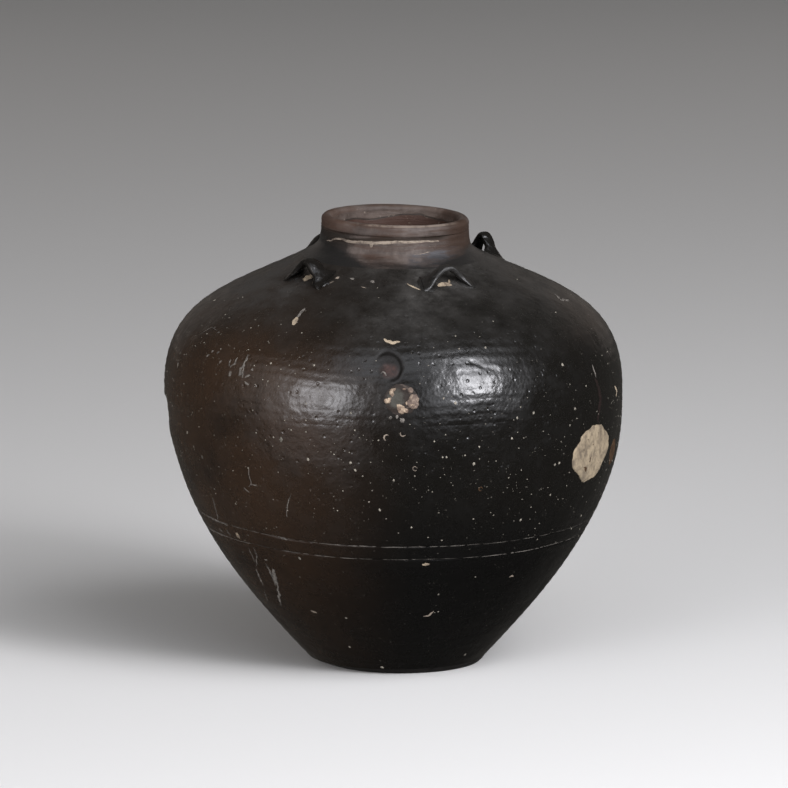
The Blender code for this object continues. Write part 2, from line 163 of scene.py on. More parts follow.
@dataclass(frozen=True)
class JarForm:
    """The jar's driving sizes, as in the frame, and the curves they give."""

    wall: float = 0.009
    lute_ridge: float = 0.0022
    seat_gap: float = 0.0003
    foot_radius: float = 0.080
    foot_edge: float = 0.0015
    rim_radius: float = 0.089
    rim_height: float = 0.006
    belly_radius: float = 0.229
    belly_height: float = 0.277
    lower_flare: float = 43.0
    lower_foot_pull: float = 0.098
    lower_belly_pull: float = 0.1135
    shoulder_belly_pull: float = 0.0865
    shoulder_neck_pull: float = 0.0875
    shoulder_fall: float = 26.5
    seat_radius: float = 0.093
    seat_height: float = 0.4105
    neck_radius: float = 0.0745
    neck_top_radius: float = 0.0732
    neck_root_pull: float = 0.011
    neck_waist_drop: float = 0.010
    mouth_radius: float = 0.0625
    throat_pull: float = 0.012
    throat_depth: float = 0.014
    lip_seat_height: float = 0.4385
    total_height: float = 0.450
    lip_radius: float = 0.0734
    lip_round: float = 0.0050
    lip_undercut: float = 0.0012
    lower_sway: float = 0.0033
    lower_sway_rise: float = 0.085
    foot_sway: float = 0.0055
    mouth_sway: float = 0.0020
    mouth_sway_rise: float = 0.080
    mouth_tilt: float = 1.5

    def lower(self) -> Curve:
        """Return the outside of the lower wall."""
        start = np.array([self.rim_radius, self.rim_height])
        end = np.array([self.belly_radius, self.belly_height])
        flare = lean(self.lower_flare, self.lower_foot_pull)
        return Curve(start, flare, end, lean(0, self.lower_belly_pull))

    def shoulder(self) -> Curve:
        """Return the outside of the shoulder wall."""
        start = np.array([self.belly_radius, self.belly_height])
        end = np.array([self.seat_radius, self.seat_height])
        fall = self.shoulder_fall - 90.0
        return Curve(start, lean(0, self.shoulder_belly_pull), end, lean(fall, self.shoulder_neck_pull))

    def neck(self) -> Curve:
        """Return the outside of the neck up to its waist."""
        start = np.array([self.seat_radius, self.seat_height])
        waist = self.lip_seat_height - self.neck_waist_drop
        end = np.array([self.neck_radius, waist])
        rise = (self.lip_seat_height - self.seat_height - self.neck_waist_drop) / 2
        return Curve(start, lean(self.shoulder_fall - 90.0, self.neck_root_pull), end, lean(0, rise))

    def throat(self) -> Curve:
        """Return the inside of the neck up to its waist."""
        shoulder = self.shoulder()
        start = (shoulder.at(1) - shoulder.outward(1) * self.wall)[0]
        end = np.array([self.mouth_radius, self.lip_seat_height - self.neck_waist_drop])
        return Curve(start, lean(self.shoulder_fall - 90.0, self.throat_pull), end, lean(0, self.throat_depth))

    def lip_seat(self) -> tuple[Array, Array]:
        """Return the outer and the inner corner on which the lip seats."""
        outer = [self.neck_top_radius - self.lip_undercut, self.lip_seat_height]
        return np.array(outer), np.array([self.mouth_radius, self.lip_seat_height])

    def settle(self, points: Array) -> Array:
        """Move turned points to where the hand-luted sections sit, as the frame does.

        Args:
            points: turned points, any shape that ends in 3.

        Returns:
            The settled points.
        """
        x, height = points[..., 0], points[..., 2]
        low = soft_step((self.belly_height - height) / self.lower_sway_rise)
        foot = soft_step((self.rim_height - height) / self.rim_height)
        mouth = soft_step((height - self.total_height + self.mouth_sway_rise) / self.mouth_sway_rise)
        across = self.lower_sway * low + self.foot_sway * foot + self.mouth_sway * mouth
        drop = x * math.tan(math.radians(self.mouth_tilt)) * mouth
        return np.stack([x + across, points[..., 1], height - drop], axis=-1)


def lute(outer: Array, inner: Array, ridge: float, lift: float) -> Array:
    """Return the ridge between two sections: outer corner, crest and inner corner.

    Args:
        outer: the outer corner, which both sections share.
        inner: the inner corner.
        ridge: how far the crest stands above the line between the corners.
        lift: how far the crest and the inner corner are lifted, in the upper section's groove.

    Returns:
        The three points.
    """
    across = (outer - inner) / np.linalg.norm(outer - inner)
    up = np.array([-across[1], across[0]])
    crest = (outer + inner) / 2 + up * ridge
    return np.array([outer, crest + up * lift, inner + up * lift])


def round_over(radius: float, height: float, size: float, angles: Point, steps: int) -> tuple[Array, Array]:
    """Return the points of an arc and its unit directions, with angles from outwards to up.

    Args:
        radius: the radius at which the arc's centre stands.
        height: the centre's height.
        size: the arc's own radius.
        angles: the first and the last angle in degrees.
        steps: the number of points.

    Returns:
        The points and the directions.
    """
    turns = np.radians(np.linspace(*angles, steps))
    ways = np.stack([np.cos(turns), np.sin(turns)], axis=-1)
    return np.array([radius, height]) + ways * size, ways


def band(low: int, high: int, columns: int) -> list[Face]:
    """Return the quads between two rings, given by the number of their first point."""
    pairs = [(column, (column + 1) % columns) for column in range(columns)]
    return [(low + column, low + other, high + other, high + column) for column, other in pairs]


def fans(low: int, high: int, columns: int, poles: tuple[int, int]) -> list[Face]:
    """Return the triangles that close the first ring with one pole and the last with the other."""
    made: list[Face] = []
    for column in range(columns):
        other = (column + 1) % columns
        made += [(poles[0], low + other, low + column), (poles[1], high + column, high + other)]
    return made


# The turned sections


def placed(name: str, data: bpy.types.ID) -> Piece:
    """Return a new object with its data, linked to the scene."""
    made = bpy.data.objects.new(name, data)
    bpy.context.collection.objects.link(made)
    return made


def mesh_of(name: str, points: Any, faces: Any) -> Mesh:
    """Return a new mesh."""
    mesh = bpy.data.meshes.new(name)
    mesh.from_pydata([tuple(point) for point in points], [], faces)
    return mesh


def mesh_lists(piece: Piece) -> tuple[list[Vector], list[Polygon]]:
    """Return copies of a piece's points, and its faces."""
    return [vertex.co.copy() for vertex in piece.data.vertices], list(piece.data.polygons)


def keep_values(mesh: Mesh, key: str, values: Array) -> None:
    """Write a value for each point of a mesh, as numbers or as vectors."""
    kind, slot = ("FLOAT_VECTOR", "vector") if values.ndim == 2 else ("FLOAT", "value")
    layer = mesh.attributes.new(key, kind, "POINT")
    layer.data.foreach_set(slot, values.astype(np.float32).ravel())


@dataclass
class TurnedSection:
    """One turned section of the jar: its outline, its own dents, and its place in the frame."""

    form: JarForm
    name: str
    node: str
    slot: Slot
    columns: int = 448

    def azimuths(self) -> Array:
        """Return the azimuths of the mesh's columns, evenly spaced."""
        return np.linspace(-180.0, 180.0, self.columns, endpoint=False)

    def outline(self) -> Outline:
        """Return the section's outline."""
        raise NotImplementedError

    def relief(self, azimuth: Array, height: Array, radius: Array) -> Array:
        """Return how far the skin stands out at places on it; smooth unless a section says more."""
        return 0 * (azimuth + height + radius)

    def masks(self, azimuth: Array, height: Array) -> dict[str, Array]:
        """Return where the finish changes, by the mask's name; nowhere unless a section says more."""
        return {}

    @staticmethod
    def rings(*runs: Run) -> Outline:
        """Join runs of points, each with its outward vectors, skin share and inside share."""
        points = np.concatenate([run[0] for run in runs])
        outward = np.concatenate([np.broadcast_to(run[1], run[0].shape) for run in runs])
        skin, inside = (np.concatenate([np.full(len(run[0]), run[part]) for run in runs]) for part in (2, 3))
        return Outline(points, outward, skin, inside)

    def groove(self, outer: Array, inner: Array) -> tuple[Array, list[Run]]:
        """Return the groove that seats on the section below, and its inner runs."""
        seat = lute(outer, inner, self.form.lute_ridge, self.form.seat_gap)
        return seat, [(seat[2:], -UP, 0.0, 1.0), (seat[1:2], -UP, 0.0, 0.0)]

    def wall_outline(self, curve: Curve, steps: Array, inner_rows: int) -> Outline:
        """Return the outline of a wall with a groove at its foot and a ridge on top.

        Args:
            curve: the wall's outside.
            steps: where its outer rings lie along the curve.
            inner_rows: the number of rings inside.

        Returns:
            The outline.
        """
        back = np.linspace(1.0, 0.0, inner_rows)
        corners = [curve.at(end)[0] for end in (0, 1)]
        insides = [(curve.at(end) - curve.outward(end) * self.form.wall)[0] for end in (0, 1)]
        ridge = lute(corners[1], insides[1], self.form.lute_ridge, 0.0)
        inner = curve.at(back) - curve.outward(back) * self.form.wall
        return self.rings(
            (curve.at(steps), curve.outward(steps), 1.0, 0.0),
            (ridge[1:2], UP, 0.0, 0.0),
            (inner[:-1], -curve.outward(back)[:-1], 0.0, 1.0),
            *self.groove(corners[0], insides[0])[1],
        )

    def build(self) -> Piece:
        """Turn the outline into a closed mesh with its relief, in the settled place."""
        outline, azimuth = self.outline(), self.azimuths()
        on_axis = outline.points[:, 0] < self.form.seat_gap
        rows, poles = np.flatnonzero(~on_axis), outline.points[on_axis]
        radius, height = (outline.points[rows, axis][:, None] for axis in (0, 1))
        out_r, out_z = (outline.outward[rows, axis][:, None] for axis in (0, 1))
        around = np.broadcast_to(azimuth[None, :], (len(rows), len(azimuth)))
        heights = height + 0 * around
        push = self.relief(around, heights, radius + 0 * around) * outline.skin[rows][:, None]
        points = polar(around, radius + out_r * push, height + out_z * push).reshape(-1, 3)
        ends = np.array([[0.0, 0.0, pole[1]] for pole in poles]).reshape(-1, 3)
        faces = self.faces(len(rows), len(azimuth), closed=not len(poles))
        mesh = mesh_of(self.name, self.form.settle(np.concatenate([points, ends])).tolist(), faces)
        outward = polar(around, out_r, out_z).reshape(-1, 3)
        keep_values(mesh, "outward", np.concatenate([outward, 0 * ends]))
        for key, values in (("skin", outline.skin), ("inside", outline.inside)):
            keep_values(mesh, key, np.concatenate([np.repeat(values[rows], len(azimuth)), values[on_axis]]))
        for key, values in self.masks(around, heights).items():
            keep_values(mesh, key, np.concatenate([values.ravel(), np.zeros(len(ends))]))
        return placed(self.name, mesh)

    @staticmethod
    def faces(rows: int, columns: int, closed: bool) -> list[Face]:
        """Return the faces of stacked rings.

        Args:
            rows: the number of rings.
            columns: the number of points in each ring.
            closed: True where the last ring joins the first; otherwise two poles close the ends.

        Returns:
            Quads, with triangles round the poles.
        """
        made: list[Face] = []
        for row in range(rows if closed else rows - 1):
            made += band(row * columns, ((row + 1) % rows) * columns, columns)
        if not closed:
            poles = rows * columns, rows * columns + 1
            made += fans(0, (rows - 1) * columns, columns, poles)
        return made


@dataclass
class BaseDisc(TurnedSection):
    """The flat floor of the jar, bare clay where it stands."""

    def outline(self) -> Outline:
        """Return the disc's outline, from pole to pole."""
        form, lower = self.form, self.form.lower()
        seat = lute(lower.at(0)[0], (lower.at(0) - lower.outward(0) * form.wall)[0], form.lute_ridge, 0.0)
        flat = np.array([[0.0, 0.0], [form.foot_radius / 2, 0.0], [form.foot_radius - form.foot_edge, 0.0]])
        halfway = [(form.foot_radius + form.rim_radius) / 2, form.rim_height / 2]
        side = np.array([[form.foot_radius, form.foot_edge], halfway])
        floor = np.array([[seat[2][0] / 2, seat[2][1]], [0.0, seat[2][1]]])
        return self.rings(
            (flat, -UP, 0.0, 0.0), (side, OUT, 0.0, 0.0), (seat[:1], lower.outward(0), 1.0, 0.0),
            (seat[1:], UP, 0.0, 1.0), (floor, UP, 0.0, 1.0),
        )


@dataclass
class LowerWall(TurnedSection):
    """The lower wall, with two lines cut round it and a slack belly joint."""

    rows: int = 84
    line_rows: int = 64
    inner_rows: int = 20
    fine_steps: int = 2000
    line_band: Point = (0.131, 0.163)
    lines: tuple[Point, ...] = ((0.1505, 0.0075), (0.1365, 0.0055))
    phases: Point = (0.0, 2.0)
    line_half_width: float = 0.0009
    line_depth: float = 0.0010
    climb_azimuth: float = -72.0
    climb_width: float = 42.0
    seam_dent: float = 0.0022
    seam_dent_azimuth: float = -96.0
    seam_dent_width: float = 52.0
    seam_top: float = 0.2725
    seam_fade: float = 0.020

    def outline(self) -> Outline:
        """Return the lower wall's outline, its rings closer together over the cut lines."""
        curve, (low, high) = self.form.lower(), self.line_band
        plain = curve.at(np.linspace(0.0, 1.0, self.rows))[:, 1]
        plain = plain[(plain < low - self.line_depth) | (plain > high + self.line_depth)]
        heights = np.sort(np.concatenate([plain, np.linspace(low, high, self.line_rows)]))
        fine = np.linspace(0.0, 1.0, self.fine_steps)
        return self.wall_outline(curve, np.interp(heights, curve.at(fine)[:, 1], fine), self.inner_rows)

    def line_height(self, azimuth: Array, level: float, climb: float) -> Array:
        """Return the height of a cut line round the wall; it climbs on the left."""
        return level + climb * bump(turn_between(azimuth, self.climb_azimuth), self.climb_width)

    def relief(self, azimuth: Array, height: Array, radius: Array) -> Array:
        """Return the cut lines and the dent under the belly joint."""
        angle = np.radians(azimuth)
        push = 0 * azimuth
        for (level, climb), phase in zip(self.lines, self.phases):
            centre = self.line_height(azimuth, level, climb)
            centre = centre + self.line_half_width * 0.5 * np.sin(9 * angle + phase) * np.sin(4 * angle)
            wear = 0.62 + 0.38 * np.sin(13 * angle + phase) * np.sin(5 * angle + 1.0 + phase)
            push -= self.line_depth * wear * bump(height - centre, self.line_half_width)
        side = bump(turn_between(azimuth, self.seam_dent_azimuth), self.seam_dent_width)
        under = soft_step((self.seam_top - height) / (self.seam_fade / 3))
        fade = soft_step((height - self.seam_top + 2 * self.seam_fade) / self.seam_fade)
        return push - self.seam_dent * side * under * fade


@dataclass
class ShoulderWall(TurnedSection):
    """The shoulder wall, with a ring scar and a wavy dent on its front."""

    rows: int = 92
    inner_rows: int = 22
    fine_window: Point = (-9.0, 31.0)
    fine_columns: int = 150
    coarse_columns: int = 300
    ring_azimuth: float = -1.5
    ring_height: float = 0.3334
    ring_radius: float = 0.0145
    ring_stretch: float = 1.12
    ring_groove: float = 0.0012
    ring_floor: float = 0.0005
    dent_from: Point = (19.4, 0.3365)
    dent_to: Point = (28.4, 0.3275)
    dent_wave: float = 0.0012
    dent_depth: float = 0.0007
    dent_half_width: float = 0.0016
    grey_centre: Point = (2.0, 0.3050)
    grey_radius: float = 0.0105
    red_azimuth: float = -1.3
    red_height: float = 0.3303
    red_half_width: float = 0.0100
    red_half_height: float = 0.0066

    def azimuths(self) -> Array:
        """Return the azimuths of the columns, closer together over the front's scars."""
        low, high = self.fine_window
        fine = np.linspace(low, high, self.fine_columns, endpoint=False)
        coarse = np.linspace(high, low + 360.0, self.coarse_columns, endpoint=False)
        return np.concatenate([fine, coarse])

    def outline(self) -> Outline:
        """Return the shoulder wall's outline."""
        return self.wall_outline(self.form.shoulder(), np.linspace(0.0, 1.0, self.rows), self.inner_rows)

    def from_ring(self, azimuth: Array, height: Array) -> tuple[Array, Array]:
        """Return the distance from the ring scar's middle, and the direction from it."""
        across = np.radians(turn_between(azimuth, self.ring_azimuth)) * self.form.belly_radius
        up = (height - self.ring_height) * self.ring_stretch
        return np.hypot(across, up), np.arctan2(up, across)

    def relief(self, azimuth: Array, height: Array, radius: Array) -> Array:
        """Return the ring scar, the bare hollow below it and the wavy dent beside them."""
        away, way = self.from_ring(azimuth, height)
        edge = self.ring_radius * (1 + 0.06 * np.sin(3 * way) + 0.04 * np.sin(7 * way + 1.0))
        upper_right = soft_step((np.cos(way - math.radians(38.0)) + 0.70) / 1.2)
        push = -self.ring_groove * upper_right * bump(away - edge, self.ring_radius * 0.11)
        push -= self.ring_floor * upper_right * soft_step((edge - away) / (self.ring_radius * 0.30))
        (first, start), (last, end) = self.dent_from, self.dent_to
        along = np.clip((azimuth - first) / (last - first), 0.0, 1.0)
        wave = start + (end - start) * along + self.dent_wave * np.sin(along * math.tau * 1.25)
        ends = soft_step(np.minimum(azimuth - first, last - azimuth) / 1.6)
        push -= self.dent_depth * ends * bump(height - wave, self.dent_half_width)
        across = np.radians(turn_between(azimuth, self.grey_centre[0])) * radius
        grey = np.hypot(across, height - self.grey_centre[1])
        return push - self.dent_depth * soft_step((self.grey_radius - grey) / (self.grey_radius * 0.35))

    def masks(self, azimuth: Array, height: Array) -> dict[str, Array]:
        """Return the reddish floor of the ring scar, its dull inside, and its groove, painted black as painted
        shade.
        """
        away, way = self.from_ring(azimuth, height)
        across = np.radians(turn_between(azimuth, self.red_azimuth)) * self.form.belly_radius
        up = (height - self.red_height) / self.red_half_height
        right = soft_step((np.cos(way - math.radians(20.0)) + 0.75) / 0.9)
        return {
            "bare": soft_step((1.25 - np.hypot(across / self.red_half_width, up)) / 0.6),
            "dull": soft_step((self.ring_radius * 1.34 - away) / (self.ring_radius * 0.34)) * right,
            # Painted shade: the groove's right side is painted black where its shadow falls.
            "groove": bump(away - self.ring_radius * 0.99, self.ring_radius * 0.085) * right,
        }


@dataclass
class SmearedSection(TurnedSection):
    """A section at the seam under the lip, which clay smeared at the jar's sides fills."""

    columns: int = 384
    seam_front: Point = (-46.0, 42.0)
    seam_fade: float = 16.0
    back_azimuth: float = 105.0
    back_fade: float = 30.0
    seam_fill: float = 0.0010

    def relief(self, azimuth: Array, height: Array, radius: Array) -> Array:
        """Return the clay smeared in the seam beside its open front."""
        first, last = self.seam_front
        shut = soft_step((first - azimuth) / self.seam_fade) + soft_step((azimuth - last) / self.seam_fade)
        back = soft_step((np.abs(azimuth) - self.back_azimuth) / self.back_fade)
        near = bump(height - self.form.lip_seat_height, self.form.lip_undercut)
        return self.seam_fill * np.clip(shut - back, 0.0, 1.0) * near


@dataclass
class Neck(SmearedSection):
    """The short flared neck, bare clay above an uneven edge of glaze."""

    rows: int = 26
    inner_rows: int = 20
    collar_rows: int = 7

    def outline(self) -> Outline:
        """Return the neck's outline."""
        form, curve, throat = self.form, self.form.neck(), self.form.throat()
        t, back = np.linspace(0.0, 1.0, self.rows), np.linspace(1.0, 0.0, self.inner_rows)
        waist = form.lip_seat_height - form.neck_waist_drop
        share = np.linspace(0.0, 1.0, self.collar_rows)[1:]
        rise = waist + (form.lip_seat_height - form.lip_undercut - waist) * share
        radii = form.neck_radius + (form.neck_top_radius - form.neck_radius) * share
        ridge = lute(*form.lip_seat(), form.lute_ridge, 0.0)
        return self.rings(
            (curve.at(t), curve.outward(t), 1.0, 0.0),
            (np.stack([radii, rise], axis=-1), OUT, 1.0, 0.0),
            (ridge[:1], OUT, 1.0, 0.0),
            (ridge[1:2], UP, 0.0, 0.0),
            (ridge[2:], -OUT, 1.0, 1.0),
            (throat.at(back)[:-1], -throat.outward(back)[:-1], 1.0, 1.0),
            *self.groove(curve.at(0)[0], throat.at(0)[0])[1],
        )


@dataclass
class RolledLip(SmearedSection):
    """The rolled lip on the neck."""

    round_rows: int = 10
    side_rows: int = 5

    def outline(self) -> Outline:
        """Return the lip's outline."""
        form, rows = self.form, self.side_rows
        foot, inner_runs = self.groove(*form.lip_seat())
        top = form.total_height - form.lip_round
        swell = form.lip_seat_height + form.lip_undercut
        side = np.stack([np.full(rows, form.lip_radius), np.linspace(swell, top, rows)], -1)
        back = np.stack([np.full(rows, form.mouth_radius), np.linspace(top, form.lip_seat_height, rows)], -1)
        outer = round_over(form.lip_radius - form.lip_round, top, form.lip_round, (0, 90), self.round_rows)
        inner = round_over(form.mouth_radius + form.lip_round, top, form.lip_round, (90, 180), self.round_rows)
        return self.rings(
            (foot[:1], OUT, 1.0, 0.0), (side[:-1], OUT, 1.0, 0.0), (*outer, 1.0, 0.0),
            (*inner, 1.0, 0.6), (back[1:], -OUT, 1.0, 1.0), *inner_runs,
        )


# Node trees


@dataclass(frozen=True)
class Field:
    """An output in a node tree, which takes part in sums as a number does."""

    nodes: "Nodes"
    socket: bpy.types.NodeSocket

    def __add__(self, other: Any) -> "Field":
        """Return the sum."""
        return self.nodes.math("ADD", self, other)

    def __sub__(self, other: Any) -> "Field":
        """Return the difference."""
        return self.nodes.math("SUBTRACT", self, other)

    def __rsub__(self, other: Any) -> "Field":
        """Return a number less the field."""
        return self.nodes.math("SUBTRACT", other, self)

    def __mul__(self, other: Any) -> "Field":
        """Return the product."""
        return self.nodes.math("MULTIPLY", self, other)

    def __truediv__(self, other: Any) -> "Field":
        """Return the quotient."""
        return self.nodes.math("DIVIDE", self, other)

    def __rtruediv__(self, other: Any) -> "Field":
        """Return a number divided by the field."""
        return self.nodes.math("DIVIDE", other, self)

    def __pow__(self, other: Any) -> "Field":
        """Return the power."""
        return self.nodes.math("POWER", self, other)

    def __abs__(self) -> "Field":
        """Return the distance from 0."""
        return self.nodes.math("ABSOLUTE", self)

    __radd__, __rmul__ = __add__, __mul__


class Nodes:
    """A short way to add nodes to a tree and to join them."""

    def __init__(self, tree: Tree) -> None:
        """Keep the tree."""
        self.tree = tree

    @staticmethod
    def find(sockets: Any, key: Any) -> bpy.types.NodeSocket:
        """Return a socket by its number, or the first in use with a name."""
        if isinstance(key, int):
            return sockets[key]
        return next(socket for socket in sockets if socket.enabled and socket.name == key)

    def put(self, node: Node, values: dict[Any, Any]) -> None:
        """Give a node its inputs by name or number, each a plain value or a field."""
        for key, value in values.items():
            socket = self.find(node.inputs, key)
            if isinstance(value, Field):
                self.tree.links.new(value.socket, socket)
            else:
                socket.default_value = value

    def add(self, kind: str, values: dict[Any, Any] | None = None, **settings: Any) -> Node:
        """Add a node.

        Args:
            kind: the node's type.
            values: its inputs, as in put.
            settings: the node's own settings, set before its inputs.

        Returns:
            The node.
        """
        node = self.tree.nodes.new(kind)
        for key, value in settings.items():
            setattr(node, key, value)
        self.put(node, values or {})
        return node

    def out(self, kind: str, values: dict[Any, Any] | None = None, output: Any = 0, **settings: Any) -> Field:
        """Add a node and return one of its outputs."""
        return Field(self, self.find(self.add(kind, values, **settings).outputs, output))

    def outs(self, kind: str, values: dict[Any, Any] | None = None, **settings: Any) -> dict[str, Field]:
        """Add a node and return its outputs by name."""
        made = self.add(kind, values, **settings)
        return {socket.name: Field(self, socket) for socket in made.outputs if socket.enabled}

    def math(self, operation: str, first: Any, second: Any = 0.0, clamp: bool = False) -> Field:
        """Return the result of a sum on two values."""
        return self.out("ShaderNodeMath", {0: first, 1: second}, operation=operation, use_clamp=clamp)

    def most(self, first: Any, second: Any) -> Field:
        """Return the greater of two values."""
        return self.math("MAXIMUM", first, second)

    def noise(self, where: Any, scale: Any, detail: float = 3.0, rough: float = 0.5, seed: Any = 0.0) -> Field:
        """Return a fractal noise from 0 to 1 over a place, told apart by a seed."""
        values = {"Vector": where, "Scale": scale, "Detail": detail, "Roughness": rough, "W": seed}
        return self.out("ShaderNodeTexNoise", values, noise_dimensions="4D")

    def ramp(self, value: Any, low: float, high: float) -> Field:
        """Return a soft step of a value, 0 at low and 1 at high."""
        inputs = {"Value": value, "From Min": low, "From Max": high}
        return self.out("ShaderNodeMapRange", inputs, interpolation_type="SMOOTHSTEP")

    def place(self) -> Field:
        """Return the place on the object."""
        return self.out("ShaderNodeTexCoord", output="Object")

    def stretched(self, place: Field, fibre: float) -> Field:
        """Return a place with its height scaled, for a grain that runs round or up the jar."""
        return self.out("ShaderNodeMapping", {"Vector": place, "Scale": (1.0, 1.0, fibre)})

    def mask(self, key: str) -> Field:
        """Return a value that the mesh keeps for each point."""
        return self.out("ShaderNodeAttribute", output="Fac", attribute_name=key)

    def mix(self, share: Any, first: Any, second: Any) -> Field:
        """Return the mix of two colours, each a field or (red, green, blue)."""
        first, second = (colour if isinstance(colour, Field) else (*colour, 1.0) for colour in (first, second))
        return self.out("ShaderNodeMix", {0: share, 6: first, 7: second}, output=2, data_type="RGBA")

    def layers(self, colour: Any, *layers: Layer) -> Field:
        """Return a colour with others laid over it, each given as (share, colour)."""
        for share, over in layers:
            colour = self.mix(share, colour, over)
        return colour

    def raise_by(self, shader: Node, *layers: tuple[Any, float, float]) -> None:
        """Stack bumps on a shader's normal, each a height, a strength and a depth in metres."""
        values: dict[Any, Any] = {}
        for height, strength, depth in layers:
            values |= {"Height": height, "Strength": strength, "Distance": depth}
            values["Normal"] = self.out("ShaderNodeBump", values)
        self.put(shader, {"Normal": values["Normal"]})


@dataclass(frozen=True)
class Shaper:
    """A Geometry Nodes tree whose named inputs are the fields of this class."""

    def values(self) -> dict[str, Any]:
        """Return the tree's inputs by name."""
        return {key.replace("_", " ").title(): value for key, value in vars(self).items()}

    def start(self, name: str, geometry: str) -> tuple[Nodes, dict[str, Field]]:
        """Start the tree.

        Args:
            name: the tree's name.
            geometry: the name of the geometry that goes in.

        Returns:
            The tree's nodes, and what goes in by name.
        """
        tree = bpy.data.node_groups.new(name, "GeometryNodeTree")
        kinds = {key: "Int" if isinstance(value, int) else "Float" for key, value in self.values().items()}
        for key, kind in {geometry: "Geometry", **kinds, "Clay": "Material"}.items():
            tree.interface.new_socket(key, in_out="INPUT", socket_type=f"NodeSocket{kind}")
        nodes = Nodes(tree)
        return nodes, nodes.outs("NodeGroupInput")

    def end(self, nodes: Nodes, name: str, geometry: Field, clay: Field) -> Tree:
        """Close the tree and return it: its result is made real and takes the clay."""
        nodes.tree.interface.new_socket(name, in_out="OUTPUT", socket_type="NodeSocketGeometry")
        real = nodes.out("GeometryNodeRealizeInstances", {"Geometry": geometry})
        dressed = nodes.out("GeometryNodeSetMaterial", {"Geometry": real, "Material": clay})
        nodes.add("NodeGroupOutput", {name: dressed})
        return nodes.tree

    @staticmethod
    def kept(nodes: Nodes, key: str, kind: str = "FLOAT") -> Field:
        """Return a value or vector that the mesh keeps for each point."""
        return nodes.out("GeometryNodeInputNamedAttribute", {"Name": key}, "Attribute", data_type=kind)


@dataclass(frozen=True)
class ThrownWall(Shaper):
    """The potter's hand in the turned walls: throwing rings and a slow wobble."""

    ring_pitch: float = 0.0085
    ring_depth: float = 0.00014
    wobble_size: float = 0.075
    wobble_depth: float = 0.0011
    sway_scale: float = 6.0
    sway_turns: float = 3.0
    seed: int = 4

    def tree(self) -> Tree:
        """Return a Geometry Nodes tree that moves the skin along its outward vectors."""
        nodes, given = self.start("thrown_wall", "Wall")
        place = nodes.out("GeometryNodeInputPosition")
        height = nodes.outs("ShaderNodeSeparateXYZ", {0: place})["Z"]
        sway = nodes.noise(place, given["Sway Scale"], 2.0, seed=given["Seed"])
        turns = height / given["Ring Pitch"] + sway * given["Sway Turns"]
        rings = nodes.math("SINE", turns * math.tau) * given["Ring Depth"]
        slow = nodes.noise(place, 1.0 / given["Wobble Size"], 2.0, seed=given["Seed"])
        push = (rings + (slow - 0.5) * given["Wobble Depth"]) * self.kept(nodes, "skin")
        values = {"Vector": self.kept(nodes, "outward", "FLOAT_VECTOR"), "Scale": push}
        offset = nodes.out("ShaderNodeVectorMath", values, "Vector", operation="SCALE")
        moved = nodes.out("GeometryNodeSetPosition", {"Geometry": given["Wall"], "Offset": offset})
        return self.end(nodes, "Wall", moved, given["Clay"])


@dataclass(frozen=True)
class KilnGrit(Shaper):
    """Pale grains of grit that stuck to the glaze in the kiln."""

    density: float = 7600.0
    smallest: float = 0.00034
    largest: float = 0.00105
    flatness: float = 0.45
    narrowest: float = 0.55
    rarity: float = 2.3
    seed: int = 11
    shape_seed: int = 7

    @staticmethod
    def spread(points: Array) -> Array:
        """Return how thickly grit lies at points: round the belly, and more of it on the left."""
        x, z = points[:, 0], points[:, 2]
        share = (0.10 + 0.90 * bump(z - 0.225, 0.075)) * (0.35 + 0.65 * soft_step((z - 0.125) / 0.05))
        share *= 0.75 + 0.25 * soft_step((x + 0.08) / 0.16)
        share *= soft_step((z - 0.02) / 0.05) * (1 - 0.6 * soft_step((z - 0.34) / 0.05))
        left = soft_step((-0.03 - x) / 0.08) * soft_step((z - 0.13) / 0.06) * soft_step((0.385 - z) / 0.03)
        return np.maximum(share, 0.92 * left)

    def tree(self) -> Tree:
        """Return a Geometry Nodes tree that strews grains over a skin by its grit attribute."""
        nodes, given = self.start("kiln_grit", "Skin")
        density = self.kept(nodes, "grit") * given["Density"]
        values = {"Mesh": given["Skin"], "Density": density, "Seed": given["Seed"]}
        spots = nodes.outs("GeometryNodeDistributePointsOnFaces", values, distribute_method="RANDOM")
        chance = nodes.out("FunctionNodeRandomValue", {"Seed": given["Seed"]}, "Value", data_type="FLOAT")
        size = given["Smallest"] + (given["Largest"] - given["Smallest"]) * chance ** given["Rarity"]
        values = {"Min": given["Narrowest"], "Max": 1.0, "Seed": given["Shape Seed"]}
        other = nodes.out("FunctionNodeRandomValue", values, "Value", data_type="FLOAT")
        scale = nodes.out("ShaderNodeCombineXYZ", {0: size, 1: size * other, 2: size * given["Flatness"]})
        grain = nodes.out("GeometryNodeMeshIcoSphere", {"Radius": 1.0, "Subdivisions": 1})
        values = {"Points": spots["Points"], "Instance": grain, "Rotation": spots["Rotation"], "Scale": scale}
        strewn = nodes.out("GeometryNodeInstanceOnPoints", values)
        return self.end(nodes, "Grit", strewn, given["Clay"])


def shaped_by(piece: Piece, tree: Tree, values: dict[str, Any]) -> None:
    """Run a Geometry Nodes tree on a piece and keep its result as a plain mesh.

    Args:
        piece: the piece, whose mesh is the tree's input.
        tree: the tree.
        values: the tree's inputs by name.
    """
    shaper = piece.modifiers.new(tree.name, "NODES")
    shaper.node_group = tree
    for socket in tree.interface.items_tree:
        if socket.in_out == "INPUT" and socket.name in values:
            shaper[socket.identifier] = values[socket.name]
    evaluated = piece.evaluated_get(bpy.context.evaluated_depsgraph_get())
    plain = bpy.data.meshes.new_from_object(evaluated)
    piece.modifiers.remove(shaper)
    old = piece.data
    piece.data = plain
    bpy.data.meshes.remove(old)
    plain.name = piece.name


# Finishes


